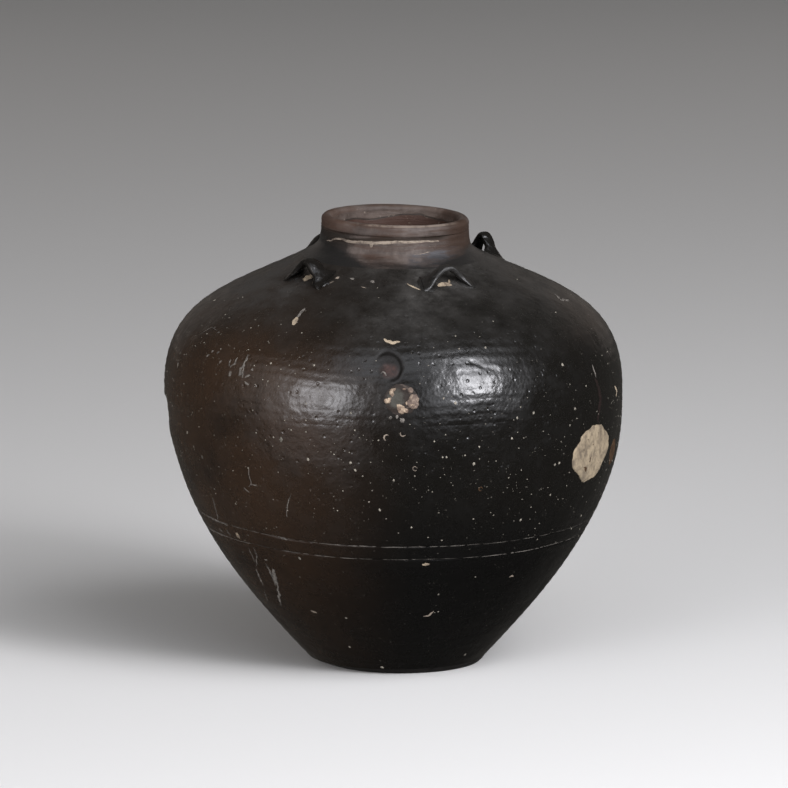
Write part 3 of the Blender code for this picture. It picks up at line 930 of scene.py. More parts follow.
@dataclass(frozen=True)
class Finish:
    """A fired surface: a Principled shader whose colour, roughness and relief come from nodes.

    A pair of numbers that ends in _across, _deep or _up says where along X, Y or Z, in metres, a
    change starts and where it is complete.
    """

    name: str
    slot: Slot
    ior: float = 1.45

    def material(self) -> Material:
        """Return the finish as a new material."""
        made = bpy.data.materials.new(self.name)
        made.use_nodes = True
        shader = made.node_tree.nodes["Principled BSDF"]
        shader.inputs["IOR"].default_value = self.ior
        self.paint(Nodes(made.node_tree), shader)
        return made

    def paint(self, nodes: Nodes, shader: Node) -> None:
        """Join the finish's nodes to the shader."""
        raise NotImplementedError


@dataclass(frozen=True)
class BlackGlaze(Finish):
    """Brown-black glaze: orange peel, pits, scuffs, dust on the shoulder, warmer on the left, and painted shade
    in the ring scar's groove.
    """

    black: Colour = (0.0033, 0.0029, 0.0024)
    brown: Colour = (0.0258, 0.0142, 0.0078)
    deep: Colour = (0.0023, 0.0022, 0.0021)
    dust: Colour = (0.0300, 0.0280, 0.0255)
    earth: Colour = (0.0500, 0.0335, 0.0240)
    fleck: Colour = (0.11, 0.10, 0.085)
    wash: Colour = (0.040, 0.024, 0.016)
    red_clay: Colour = (0.040, 0.0200, 0.0165)
    dull_clay: Colour = (0.0080, 0.0072, 0.0068)
    dust_share: float = 1.0
    smoothest: float = 0.20
    full_shine: float = 0.50
    warm_across: Point = (0.03, -0.17)
    warm_up: Point = (0.06, 0.17)
    warm_fade_up: Point = (0.315, 0.385)
    deep_up: Point = (0.21, 0.13)
    dusty_up: Point = (0.322, 0.408)
    front_deep: Point = (-0.05, -0.10)
    earth_across: Point = (0.185, 0.255)
    low_right_across: Point = (0.02, 0.13)
    low_right_up: Point = (0.24, 0.13)
    low_up: Point = (0.165, 0.115)
    clean_middle: float = 0.128
    clean_reach: Point = (0.0, 0.066)
    wiped_middle: float = -0.064
    wiped_reach: Point = (0.012, 0.052)
    settled_middle: float = 0.034
    settled_reach: Point = (0.036, 0.006)

    def paint(self, nodes: Nodes, shader: Node) -> None:
        """Join the glaze's nodes to the shader."""
        place = nodes.place()
        x, y, z = nodes.outs("ShaderNodeSeparateXYZ", {0: place}).values()
        inside, bare, dull, groove = (nodes.mask(key) for key in ("inside", "bare", "dull", "groove"))
        mottle = nodes.noise(place, 13.0, 6.0, 0.62)
        scuffs = nodes.noise(place, 40.0, 7.0, 0.70, seed=3.0)
        warm = nodes.ramp(x, *self.warm_across) * nodes.ramp(mottle, 0.10, 0.62)
        warm = warm * (0.74 + nodes.ramp(z, *self.warm_up) * 0.26)
        warm = warm * (1.0 - nodes.ramp(z, *self.warm_fade_up) * 0.60)
        haze = nodes.ramp(z, *self.dusty_up) * nodes.ramp(scuffs, 0.22, 0.74)
        haze = self.haze(nodes, haze, place, x, y)
        earthy = nodes.ramp(x + mottle * 0.08, *self.earth_across)
        spot = nodes.ramp(nodes.noise(place, 330.0, 3.0, 0.75, seed=12.0), 0.665, 0.73)
        colour = nodes.layers(
            nodes.mix(nodes.ramp(z, *self.deep_up), self.black, self.deep),
            (warm, self.brown),
            (haze, nodes.mix(earthy, self.dust, self.earth)),
            (spot * 0.75, self.fleck),
            (inside, self.wash),
            (dull, self.dull_clay),
            (bare * nodes.ramp(scuffs, 0.38, 0.62), self.red_clay),
            # Painted shade: the ring scar's groove is painted black.
            (groove, self.black),
        )
        flat = nodes.math("ADD", nodes.most(dull, bare) * 0.60, groove, clamp=True)
        low_right = nodes.ramp(x, *self.low_right_across) * nodes.ramp(z, *self.low_right_up)
        flat = nodes.most(flat, nodes.ramp(z, *self.low_up) * 0.42 + low_right * 0.38)
        smears = nodes.ramp(nodes.noise(place, 26.0, 7.0, 0.72, seed=8.0), 0.38, 0.70)
        rough = self.smoothest + smears * 0.18 + haze * 0.30
        matt = nodes.most(inside, nodes.most(bare, dull)) * 0.45
        nodes.put(shader, {
            "Base Color": colour,
            "Specular IOR Level": self.full_shine - flat * 0.44,
            "Roughness": nodes.math("ADD", rough, matt, clamp=True),
        })
        pits = nodes.outs("ShaderNodeTexVoronoi", {"Vector": place, "Scale": 150.0})
        chosen = nodes.out("ShaderNodeSeparateColor", {0: pits["Color"]})
        nodes.raise_by(
            shader,
            (nodes.noise(place, 46.0, 3.0, 0.55, seed=5.0), 0.55, 0.0024),
            (nodes.noise(place, 200.0, 2.0, 0.5), 0.38, 0.0007),
            (nodes.ramp(pits["Distance"], 0.34, 0.08) * nodes.ramp(chosen, 0.70, 0.78), 0.50, -0.0007),
        )

    def haze(self, nodes: Nodes, dusty: Field, place: Field, x: Field, y: Field) -> Field:
        """Return the share of dust: patchy, thin where it was wiped off, thick at the front.

        Args:
            nodes: the tree's nodes.
            dusty: the share by the height and the scuffs.
            place: the place on the jar.
            x: its distance across.
            y: its depth.

        Returns:
            The share.
        """
        patches = nodes.ramp(nodes.noise(place, 10.0, 5.0, 0.62, seed=6.0), 0.36, 0.64)
        clean = 0.56 + nodes.ramp(abs(x - self.clean_middle), *self.clean_reach) * 0.44
        wiped = 0.66 + nodes.ramp(abs(x - self.wiped_middle), *self.wiped_reach) * 0.34
        front = nodes.ramp(y, *self.front_deep)
        settled = nodes.ramp(abs(x - self.settled_middle), *self.settled_reach) * front
        kept = clean * wiped + settled * 0.44
        return nodes.math("MULTIPLY", dusty * (0.42 + patches * 0.80) * kept, self.dust_share, clamp=True)


@dataclass(frozen=True)
class Spot:
    """What the neck's finish knows of a place: where it is, and how the clay is marked there."""

    place: Field
    x: Field
    y: Field
    z: Field
    inside: Field
    outside: Field
    lines: Field
    stains: Field


@dataclass(frozen=True)
class BareClay(Finish):
    """Grey-brown bare clay of the neck, sooty on the left, rusty on the right, glazed at its root, with painted
    shade under the lip and a painted highlight along its crest.
    """

    light: Colour = (0.081, 0.065, 0.0565)
    mid: Colour = (0.037, 0.0275, 0.0230)
    rust: Colour = (0.036, 0.0185, 0.0115)
    # The sooty dark colour, also used as painted shade in the band under the lip.
    soot: Colour = (0.0135, 0.0102, 0.0078)
    glaze: Colour = (0.0108, 0.0102, 0.0097)
    wash: Colour = (0.041, 0.0200, 0.0140)
    far_wall: Colour = (0.112, 0.086, 0.072)
    # The pale of the flecks inside the mouth, also used as the painted highlight along the lip's crest.
    crest: Colour = (0.185, 0.150, 0.122)
    slate: Colour = (0.045, 0.044, 0.0475)
    scorch: Colour = (0.072, 0.041, 0.0290)
    clay_shine: float = 0.26
    glaze_shine: float = 0.5
    paler_across: Point = (0.020, 0.056)
    left_across: Point = (-0.036, -0.048)
    right_across: Point = (0.044, 0.057)
    below_lip_up: Point = (0.4455, 0.4380)
    ledge_height: float = 0.4395
    ledge_width: float = 0.0016
    # The band under the lip: a sooty joint darkened further as painted shade.
    seam_height: float = 0.4368
    seam_width: float = 0.0030
    seam_sag: float = 0.0040
    sag_across: Point = (-0.012, -0.062)
    seam_left_across: Point = (-0.064, -0.050)
    seam_right_across: Point = (0.058, 0.044)
    crest_up: Point = (0.4483, 0.4494)
    crest_deep: Point = (-0.030, -0.052)
    crest_across: Point = (-0.044, -0.028)
    slate_left_across: Point = (0.004, 0.026)
    slate_right_across: Point = (0.070, 0.050)
    slate_up: Point = (0.4255, 0.4205)
    glaze_up: Point = (0.4192, 0.4068)
    climb_reach: Point = (0.040, 0.078)
    left_climb_across: Point = (-0.020, -0.050)
    lift_left_across: Point = (0.006, 0.030)
    lift_right_across: Point = (0.066, 0.046)

    def paint(self, nodes: Nodes, shader: Node) -> None:
        """Join the bare clay's nodes to the shader."""
        place, inside = nodes.place(), nodes.mask("inside")
        lines = nodes.noise(nodes.stretched(place, 9.0), 34.0, 6.0, 0.60)
        stains = nodes.noise(place, 26.0, 7.0, 0.68, seed=2.0)
        x, y, z = nodes.outs("ShaderNodeSeparateXYZ", {0: place}).values()
        here = Spot(place, x, y, z, inside, 1.0 - inside, lines, stains)
        seam, glazed = self.seam(nodes, here), self.glazed(nodes, here)
        fleck = nodes.ramp(nodes.noise(place, 170.0, 4.0, 0.7, seed=9.0), 0.62, 0.70)
        colour = nodes.layers(
            nodes.mix(nodes.ramp(here.stains, 0.40, 0.62), self.mid, self.light),
            *self.rusty(nodes, here),
            *self.inner_wall(nodes, here),
            *self.ends(nodes, here),
            # Painted shade: the band under the lip is darkened and its shine lowered.
            (seam * 0.85, self.soot),
            (fleck * (0.50 + inside * 0.30), nodes.mix(inside, self.light, self.crest)),
            # Painted highlight along the lip's crest at the front, partly pale wear.
            (self.crest_wear_and_highlight(nodes, here), self.crest),
            (self.thin_glaze(nodes, here), self.slate),
            (glazed, self.glaze),
        )
        shine = self.clay_shine + glazed * (self.glaze_shine - self.clay_shine)
        nodes.put(shader, {
            "Base Color": colour,
            "Specular IOR Level": shine * (1.0 - seam * 0.80),
            "Roughness": 0.56 - glazed * 0.26,
        })
        fine = nodes.noise(place, 190.0, 4.0, 0.6)
        nodes.raise_by(shader, (here.lines, 0.6, 0.0013), (here.stains, 0.4, 0.0016), (fine, 0.35, 0.0005))

    def rusty(self, nodes: Nodes, here: Spot) -> list[Layer]:
        """Return the rust in streaks and in blotches."""
        warm = nodes.noise(here.place, 17.0, 5.0, 0.6, seed=7.0)
        shares = nodes.ramp(here.lines, 0.54, 0.38) * 0.55, nodes.ramp(warm, 0.50, 0.66) * 0.65
        return [(share, self.rust) for share in shares]

    def inner_wall(self, nodes: Nodes, here: Spot) -> list[Layer]:
        """Return the pale far wall inside the mouth, the wash low on it and the wash's wavy edge."""
        cloudy = nodes.ramp(nodes.noise(here.place, 42.0, 5.0, 0.65, seed=4.0), 0.42, 0.58)
        paler = here.inside * (0.36 + nodes.ramp(here.x, *self.paler_across) * 0.52) * (0.25 + cloudy)
        level = here.z + (nodes.noise(here.place, 21.0, 2.0, seed=5.0) - 0.5) * 0.016
        under = nodes.ramp(level, self.ledge_height, self.ledge_height - self.ledge_width) * here.inside
        edge = nodes.ramp(abs(level - self.ledge_height), self.ledge_width, 0.0)
        edge = edge * nodes.ramp(here.inside, 0.5, 0.9)
        return [(paler, self.far_wall), (under * 0.85, self.wash), (edge * 0.8, self.soot)]

    def ends(self, nodes: Nodes, here: Spot) -> list[Layer]:
        """Return the sooty dark on the neck's left and the rust on its right."""
        ragged = here.x + (here.stains - 0.5) * 0.045
        below_lip = nodes.ramp(here.z, *self.below_lip_up)
        share = (0.50 + below_lip * 0.42) * here.outside
        left = nodes.ramp(ragged, *self.left_across) * share
        right = nodes.ramp(ragged, *self.right_across) * (share * 0.92)
        umber = tuple((dull + red) / 2 for dull, red in zip(self.soot, self.rust))
        return [(left, nodes.mix(below_lip, self.scorch, self.soot)), (right, umber)]

    def seam(self, nodes: Nodes, here: Spot) -> Field:
        """Return where the dark band under the lip runs, which sags on the left: a sooty joint, darkened
        further as painted shade under the lip.
        """
        level = here.z + nodes.ramp(here.x, *self.sag_across) * self.seam_sag
        dark = nodes.ramp(abs(level - self.seam_height), self.seam_width, self.seam_width * 0.2) * here.outside
        return dark * (nodes.ramp(here.x, *self.seam_left_across) * nodes.ramp(here.x, *self.seam_right_across))

    def crest_wear_and_highlight(self, nodes: Nodes, here: Spot) -> Field:
        """Return where the lip's crest is pale at the front: a painted highlight along the crest, partly pale
        wear.
        """
        level = here.z + here.x * math.tan(math.radians(JarForm.mouth_tilt))
        front = nodes.ramp(here.y, *self.crest_deep) * nodes.ramp(here.x, *self.crest_across)
        high = nodes.ramp(level, *self.crest_up) * front
        return high * nodes.ramp(here.stains, 0.40, 0.54) * 0.75

    def thin_glaze(self, nodes: Nodes, here: Spot) -> Field:
        """Return where thin slate glaze is brushed over the clay, low on the front right."""
        level = here.z + (here.lines - 0.5) * 0.018
        sides = nodes.ramp(here.x, *self.slate_left_across) * nodes.ramp(here.x, *self.slate_right_across)
        strands = 0.25 + nodes.ramp(here.lines, 0.54, 0.44) * 0.72
        return sides * nodes.ramp(level, *self.slate_up) * strands

    def glazed(self, nodes: Nodes, here: Spot) -> Field:
        """Return where glaze covers the neck's root, with an uneven, brushed edge."""
        climb = nodes.ramp(abs(here.x), *self.climb_reach) * -0.010
        climb = climb + nodes.ramp(here.x, *self.left_climb_across) * -0.011
        lifted = nodes.ramp(here.x, *self.lift_left_across) * nodes.ramp(here.x, *self.lift_right_across)
        lifted = lifted * -0.0010
        level = here.z + (here.stains - 0.5) * 0.014 + ((here.lines - 0.5) * 0.017 + (climb + lifted))
        return nodes.ramp(level, *self.glaze_up) * here.outside


@dataclass(frozen=True)
class PlainClay(Finish):
    """Dull clay in two shades with fine grain, for the foot, the scars and the marks."""

    light: Colour = (0.36, 0.29, 0.21)
    dark: Colour = (0.17, 0.125, 0.085)
    grain: float = 120.0
    shine: float = 0.5
    stain_share: float = 0.35
    stain: Colour = (0.045, 0.032, 0.024)
    rough: float = 0.85
    fibre: float = 1.0
    dark_bias: float = 0.0

    def paint(self, nodes: Nodes, shader: Node) -> None:
        """Join the clay's nodes to the shader."""
        place = nodes.stretched(nodes.place(), 1.0 / self.fibre)
        blotch = nodes.noise(place, self.grain, 5.0, 0.65)
        fine = nodes.noise(place, self.grain * 2.6, 4.0, 0.7, seed=2.0)
        pale = nodes.ramp(blotch, 0.34 + self.dark_bias, 0.60 + self.dark_bias)
        colour = nodes.mix(pale, self.dark, self.light)
        colour = nodes.mix(nodes.ramp(fine, 0.56, 0.72) * self.stain_share, colour, self.stain)
        nodes.put(shader, {"Base Color": colour, "Roughness": self.rough, "Specular IOR Level": self.shine})
        nodes.raise_by(shader, (blotch, 0.5, 0.0010), (fine, 0.5, 0.0005))


@dataclass(frozen=True)
class ScarCrust(Finish):
    """The crust of the front scar: grey-green in its middle, brown round it, with a thin rim."""

    middle: tuple[float, float, float] = (0.0023, -0.2262, 0.3046)
    middle_reach: Point = (0.0108, 0.0058)
    grey: Colour = (0.034, 0.032, 0.026)
    dark: Colour = (0.0150, 0.0105, 0.0080)
    rim: Colour = (0.050, 0.038, 0.031)
    rim_radius: float = 0.0150
    rim_width: float = 0.0015
    rough: float = 0.6
    shine: float = 0.25

    def paint(self, nodes: Nodes, shader: Node) -> None:
        """Join the crust's nodes to the shader."""
        place = nodes.place()
        away = nodes.out("ShaderNodeVectorMath", {0: place, 1: self.middle}, "Value", operation="DISTANCE")
        blotch = nodes.noise(place, 150.0, 5.0, 0.65)
        share = nodes.ramp(away + (blotch - 0.5) * 0.012, *self.middle_reach)
        rim = nodes.ramp(abs(away - self.rim_radius), self.rim_width, 0.0) * nodes.ramp(blotch, 0.40, 0.58)
        colour = nodes.layers(self.dark, (share, self.grey), (rim, self.rim))
        nodes.put(shader, {"Base Color": colour, "Roughness": self.rough, "Specular IOR Level": self.shine})
        nodes.raise_by(shader, (blotch, 0.5, 0.0010))


# What lies on the skin


class Skin:
    """The finished outside of the jar, on which lugs, scars and marks are laid."""

    def __init__(self, form: JarForm, walls: list[Piece]) -> None:
        """Read the walls' meshes and the form's outline.

        Args:
            form: the jar's sizes.
            walls: the finished turned sections.
        """
        self.form = form
        steps = np.linspace(0.0, 1.0, OUTLINE_STEPS)
        curves = form.lower(), form.shoulder(), form.neck()
        top = np.array([[form.neck_radius, form.lip_seat_height], [form.lip_radius, form.total_height]])
        self.points = np.concatenate([curve.at(steps) for curve in curves] + [top])
        self.outward = np.concatenate([curve.outward(steps) for curve in curves] + [OUT, OUT])
        self.run = lengths_along(self.points)
        corners: list[Vector] = []
        polygons: list[list[int]] = []
        for wall in walls:
            first, (points, faces) = len(corners), mesh_lists(wall)
            corners += points
            polygons += [[first + index for index in face.vertices] for face in faces]
        self.tree = BVHTree.FromPolygons(corners, polygons)

    def run_at(self, height: float) -> float:
        """Return the distance along the outline where it reaches a height."""
        return float(np.interp(height, self.points[:, 1], self.run))

    def radius_at(self, run: float) -> float:
        """Return the radius at a distance along the outline."""
        return float(np.interp(run, self.run, self.points[:, 0]))

    def spot(self, azimuth: float, run: float, lift: float) -> Vector:
        """Return the point on the real, dented skin at an azimuth and a distance along the outline.

        Args:
            azimuth: in degrees.
            run: the distance along the outline from the base rim.
            lift: how far the point stands off the skin.

        Returns:
            The point in the settled jar.
        """
        radius, height = (np.interp(run, self.run, self.points[:, axis]) for axis in (0, 1))
        out_r, out_z = (np.interp(run, self.run, self.outward[:, axis]) for axis in (0, 1))
        base = Vector(self.form.settle(polar(azimuth, radius, height)))
        outward = Vector(polar(azimuth, out_r, out_z)).normalized()
        reach = self.form.wall / 2
        hit = self.tree.ray_cast(base + outward * reach, -outward, 2 * reach)[0]
        return (hit or base) + outward * lift


class Shell:
    """A mesh in the making: points and faces of closed lumps, strips and straps."""

    def __init__(self) -> None:
        """Start empty."""
        self.points: list[Vector] = []
        self.faces: list[Face] = []

    def loft(self, rings: list[list[Vector]], first_cap: Vector, last_cap: Vector) -> None:
        """Add a closed loft: rings joined in order, with a point that closes each end.

        Args:
            rings: lists of points, all as long, clockwise seen from the first cap.
            first_cap: the point that closes the first ring.
            last_cap: the point that closes the last ring.
        """
        start, count = len(self.points), len(rings[0])
        for ring in rings:
            self.points += ring
        self.points += [first_cap, last_cap]
        first, final = start + len(rings) * count, start + (len(rings) - 1) * count
        for row in range(len(rings) - 1):
            self.faces += band(start + row * count, start + (row + 1) * count, count)
        self.faces += fans(start, final, count, (first, first + 1))

    def made(self, name: str, material: Material) -> Piece:
        """Return the mesh as an object with its material, shaded smooth."""
        mesh = mesh_of(name, self.points, self.faces)
        mesh.materials.append(material)
        smooth_shaded(mesh)
        return placed(name, mesh)


def middle_of(ring: list[Vector]) -> Vector:
    """Return the middle of a ring of points."""
    return sum(ring, Vector()) / len(ring)


def smooth_shaded(mesh: Mesh) -> None:
    """Shade a mesh smooth, apart from its sharp corners."""
    mesh.shade_smooth()
    mesh.set_sharp_from_angle(angle=math.radians(SHARP_ANGLE))


def ripple(seed: float, across: float, up: float) -> float:
    """Return a repeatable noise from -1 to 1 over a plane, told apart by a seed."""
    return noise.noise(Vector((across, up, seed * SEED_STEP)))


@dataclass(frozen=True)
class Lump:
    """A thin lump of stuck clay or glaze on the skin."""

    azimuth: float
    height: float
    half_width: float
    half_height: float
    crown: float
    seed: int
    shares: Path = ()
    ragged_share: float = 0.10
    rough_share: float = 0.35
    edge_power: float = 3.0
    rings: int = 7
    sides: int = 40
    bury: float = 0.0022
    grit: float = 420.0
    fine_grit: float = 1100.0
    jag: float = 2.2
    fine_jag: float = 8.0
    fine_jag_share: float = 0.4
    ring_power: float = 1.2

    def edge(self, angle: float) -> float:
        """Return the outline's radius at an angle, as a share of the half sizes."""
        across, up = math.cos(angle), math.sin(angle)
        ragged = ripple(self.seed, self.jag * across, self.jag * up)
        ragged += self.fine_jag_share * ripple(self.seed + 1, self.fine_jag * across, self.fine_jag * up)
        reach = 1 + self.ragged_share * ragged
        if not self.shares:
            return reach
        corners = sorted((math.atan2(up, across), math.hypot(across, up)) for across, up in self.shares)
        angles, reaches = zip(*corners)
        return reach * float(np.interp(angle, angles, reaches, period=math.tau))

    def top(self, share: float, across: float, up: float) -> float:
        """Return how high the rough top stands at a place, with its share of the way to the edge."""
        grit = 1 + self.rough_share * ripple(self.seed + 2, across * self.grit, up * self.grit)
        grit += 0.5 * self.rough_share * ripple(self.seed + 3, across * self.fine_grit, up * self.fine_grit)
        return self.crown * (1 - share**self.edge_power) ** 0.5 * grit

    def add_to(self, shell: Shell, skin: Skin) -> None:
        """Add the lump to a mesh, its top rough and its underside just below the skin."""
        middle = skin.run_at(self.height)
        per_degree = math.radians(1.0) * skin.radius_at(middle)
        rings: list[list[Vector]] = []
        shares = [1.0] + [1.0 - (step / self.rings) ** self.ring_power for step in range(self.rings)]
        for index, share in enumerate(shares):
            ring = []
            for side in range(self.sides):
                angle = math.tau * side / self.sides
                reach = share * self.edge(angle)
                across = reach * self.half_width * math.cos(angle)
                up = reach * self.half_height * math.sin(angle)
                lift = -self.bury if index == 0 else self.top(share, across, up)
                ring.append(skin.spot(self.azimuth + across / per_degree, middle + up, lift))
            rings.append(ring)
        under, crown = (skin.spot(self.azimuth, middle, lift) for lift in (-self.bury, self.crown))
        shell.loft(rings, under, crown)


@dataclass(frozen=True)
class Stroke:
    """A thin raised or scraped line on the skin, along points given as (azimuth, height)."""

    path: Path
    width: float
    seed: int
    lift: float = 0.00022
    ragged_share: float = 0.45
    step: float = 0.0011
    bury: float = 0.0012
    tip: float = 0.02
    taper_power: float = 0.45
    ragged_steps: float = 2.5
    stray_steps: float = 4.0

    def section(self) -> Path:
        """Return the strip's section: shares of its half width, and lifts off the skin."""
        shoulder = 0.7 * self.lift
        return ((1.0, -self.bury), (0.9, shoulder), (0.0, self.lift), (-0.9, shoulder), (-1.0, -self.bury))

    def add_to(self, shell: Shell, skin: Skin) -> None:
        """Add the stroke to a mesh as a closed strip with tapered ends."""
        spots = np.array([(azimuth, skin.run_at(height)) for azimuth, height in self.path])
        per_degree = math.radians(1.0) * skin.radius_at(float(spots[:, 1].mean()))
        flat = spots * np.array([per_degree, 1.0])
        lengths = lengths_along(flat)
        count = max(5, int(lengths[-1] / self.step))
        rings: list[list[Vector]] = []
        for share in np.linspace(0.0, 1.0, count):
            runs = share * lengths[-1] + self.step * np.array([-1, 0, 1])
            before, here, after = np.stack([np.interp(runs, lengths, flat[:, axis]) for axis in (0, 1)], -1)
            along = (after - before) / max(float(np.linalg.norm(after - before)), 1e-9)
            square = np.array([-along[1], along[0]])
            taper = math.sin(math.pi * min(max(share, self.tip), 1.0 - self.tip)) ** self.taper_power
            ragged = ripple(self.seed, share * count / self.ragged_steps, 0.0)
            stray = ripple(self.seed + 5, share * count / self.stray_steps, 3.0)
            half = self.width / 2 * taper * (1 + self.ragged_share * ragged)
            here = here + square * self.width * self.ragged_share * stray
            ring = []
            for across_share, lift in self.section():
                place = here + square * half * across_share
                ring.append(skin.spot(place[0] / per_degree, place[1], lift * (taper if lift > 0 else 1)))
            rings.append(ring)
        shell.loft(rings, middle_of(rings[0]), middle_of(rings[-1]))


def arc_path(centre: Point, radius: float, ends: Point, form: JarForm, steps: int = 9) -> Path:
    """Return points of an arc on the belly as (azimuth, height).

    Args:
        centre: the arc's middle as (azimuth, height).
        radius: the arc's radius.
        ends: the first and the last angle in degrees, from the right upwards.
        form: the jar's sizes.
        steps: the number of points.

    Returns:
        The points.
    """
    (azimuth, height), per_degree = centre, math.radians(1.0) * form.belly_radius
    angles = np.radians(np.linspace(*ends, steps))
    return tuple(
        (azimuth + radius * math.cos(angle) / per_degree, height + radius * math.sin(angle)) for angle in angles
    )


@dataclass
class StrapLug:
    """A strap of clay arched on the shoulder, its feet smeared on the wall."""

    node: str
    azimuth: float
    form: JarForm
    reach_share: float = 1.0
    rise_share: float = 1.0
    lean_share: float = 0.0
    stand_off: float = 0.024
    reach: float = 0.026
    rise: float = 0.0158
    swell_share: float = 0.0
    thickness: float = 0.0066
    foot_thickness: float = 0.0044
    width: float = 0.0125
    foot_width: float = 0.022
    squareness: float = 0.80
    steps: int = 84
    sides: int = 32
    lumpiness: float = 0.00055
    edge_wander: float = 0.10
    curve_steps: int = 200
    smear: tuple[float, float, float] = (0.0098, 0.0128, 0.0020)
    smear_share: float = 0.80

    def ground(self, radius: float) -> float:
        """Return the height of the shoulder at a radius."""
        curve = self.form.shoulder().at(np.linspace(1.0, 0.0, self.curve_steps))
        return float(np.interp(radius, curve[:, 0], curve[:, 1]))

    def section(self, place: float, seed: float) -> list[Vector]:
        """Return one ring of the strap, at a place from -1 at one foot to 1 at the other."""
        radius = self.form.seat_radius + self.stand_off
        reach, rise = self.reach * self.reach_share, self.rise * self.rise_share
        turn = math.pi * (place - self.lean_share * (1 - place * place))
        arch = (1 + math.cos(turn)) / 2
        fall = math.pi * (1 + 2 * self.lean_share * place) * math.sin(turn) / 2
        slope = math.atan(rise * fall / reach)
        blend = float(soft_step(np.array(2 * arch)))
        half_width = (self.foot_width + (self.width - self.foot_width) * blend) / 2
        half_thick = (self.foot_thickness + (self.thickness - self.foot_thickness) * blend) / 2
        swell = 1 + self.swell_share * float(soft_step(np.array((place + 0.15) / 0.5)))
        half_width, half_thick = half_width * swell, half_thick * swell
        ground = self.ground(radius)
        ring = []
        for side in range(self.sides):
            angle = math.tau * side / self.sides
            cosine, sine = math.cos(angle), math.sin(angle)
            out = math.copysign(abs(cosine) ** self.squareness, cosine) * half_width
            lift = math.copysign(abs(sine) ** self.squareness, sine) * half_thick
            out *= 1 + self.edge_wander * ripple(seed, place * 3.0, angle)
            lump = self.lumpiness * ripple(seed + 1, place * 6.0 + math.cos(angle), math.sin(angle) * 1.6)
            under = self.ground(radius + out)
            height = ground * arch + under * (1 - arch) + rise * arch + (lift + lump) * math.cos(slope)
            along = reach * place + (lift + lump) * math.sin(slope)
            azimuth = self.azimuth + math.degrees(along / radius)
            ring.append(Vector(self.form.settle(polar(azimuth, radius + out, height))))
        return ring

    def build(self, skin: Skin, glaze: Material, seed: int) -> Piece:
        """Return the lug with its smeared feet as one piece."""
        shell = Shell()
        rings = [self.section(-1 + 2 * step / self.steps, seed) for step in range(self.steps + 1)]
        shell.loft([ring[::-1] for ring in rings], middle_of(rings[0]), middle_of(rings[-1]))
        radius = self.form.seat_radius + self.stand_off
        for side in (-1, 1):
            foot = self.azimuth + side * math.degrees(self.reach * self.reach_share * self.smear_share / radius)
            Lump(
                foot, self.ground(radius), *self.smear, seed + side,
                ragged_share=0.22, rough_share=0.12, edge_power=1.6,
            ).add_to(shell, skin)
        return shell.made(f"strap_{self.node}", glaze)


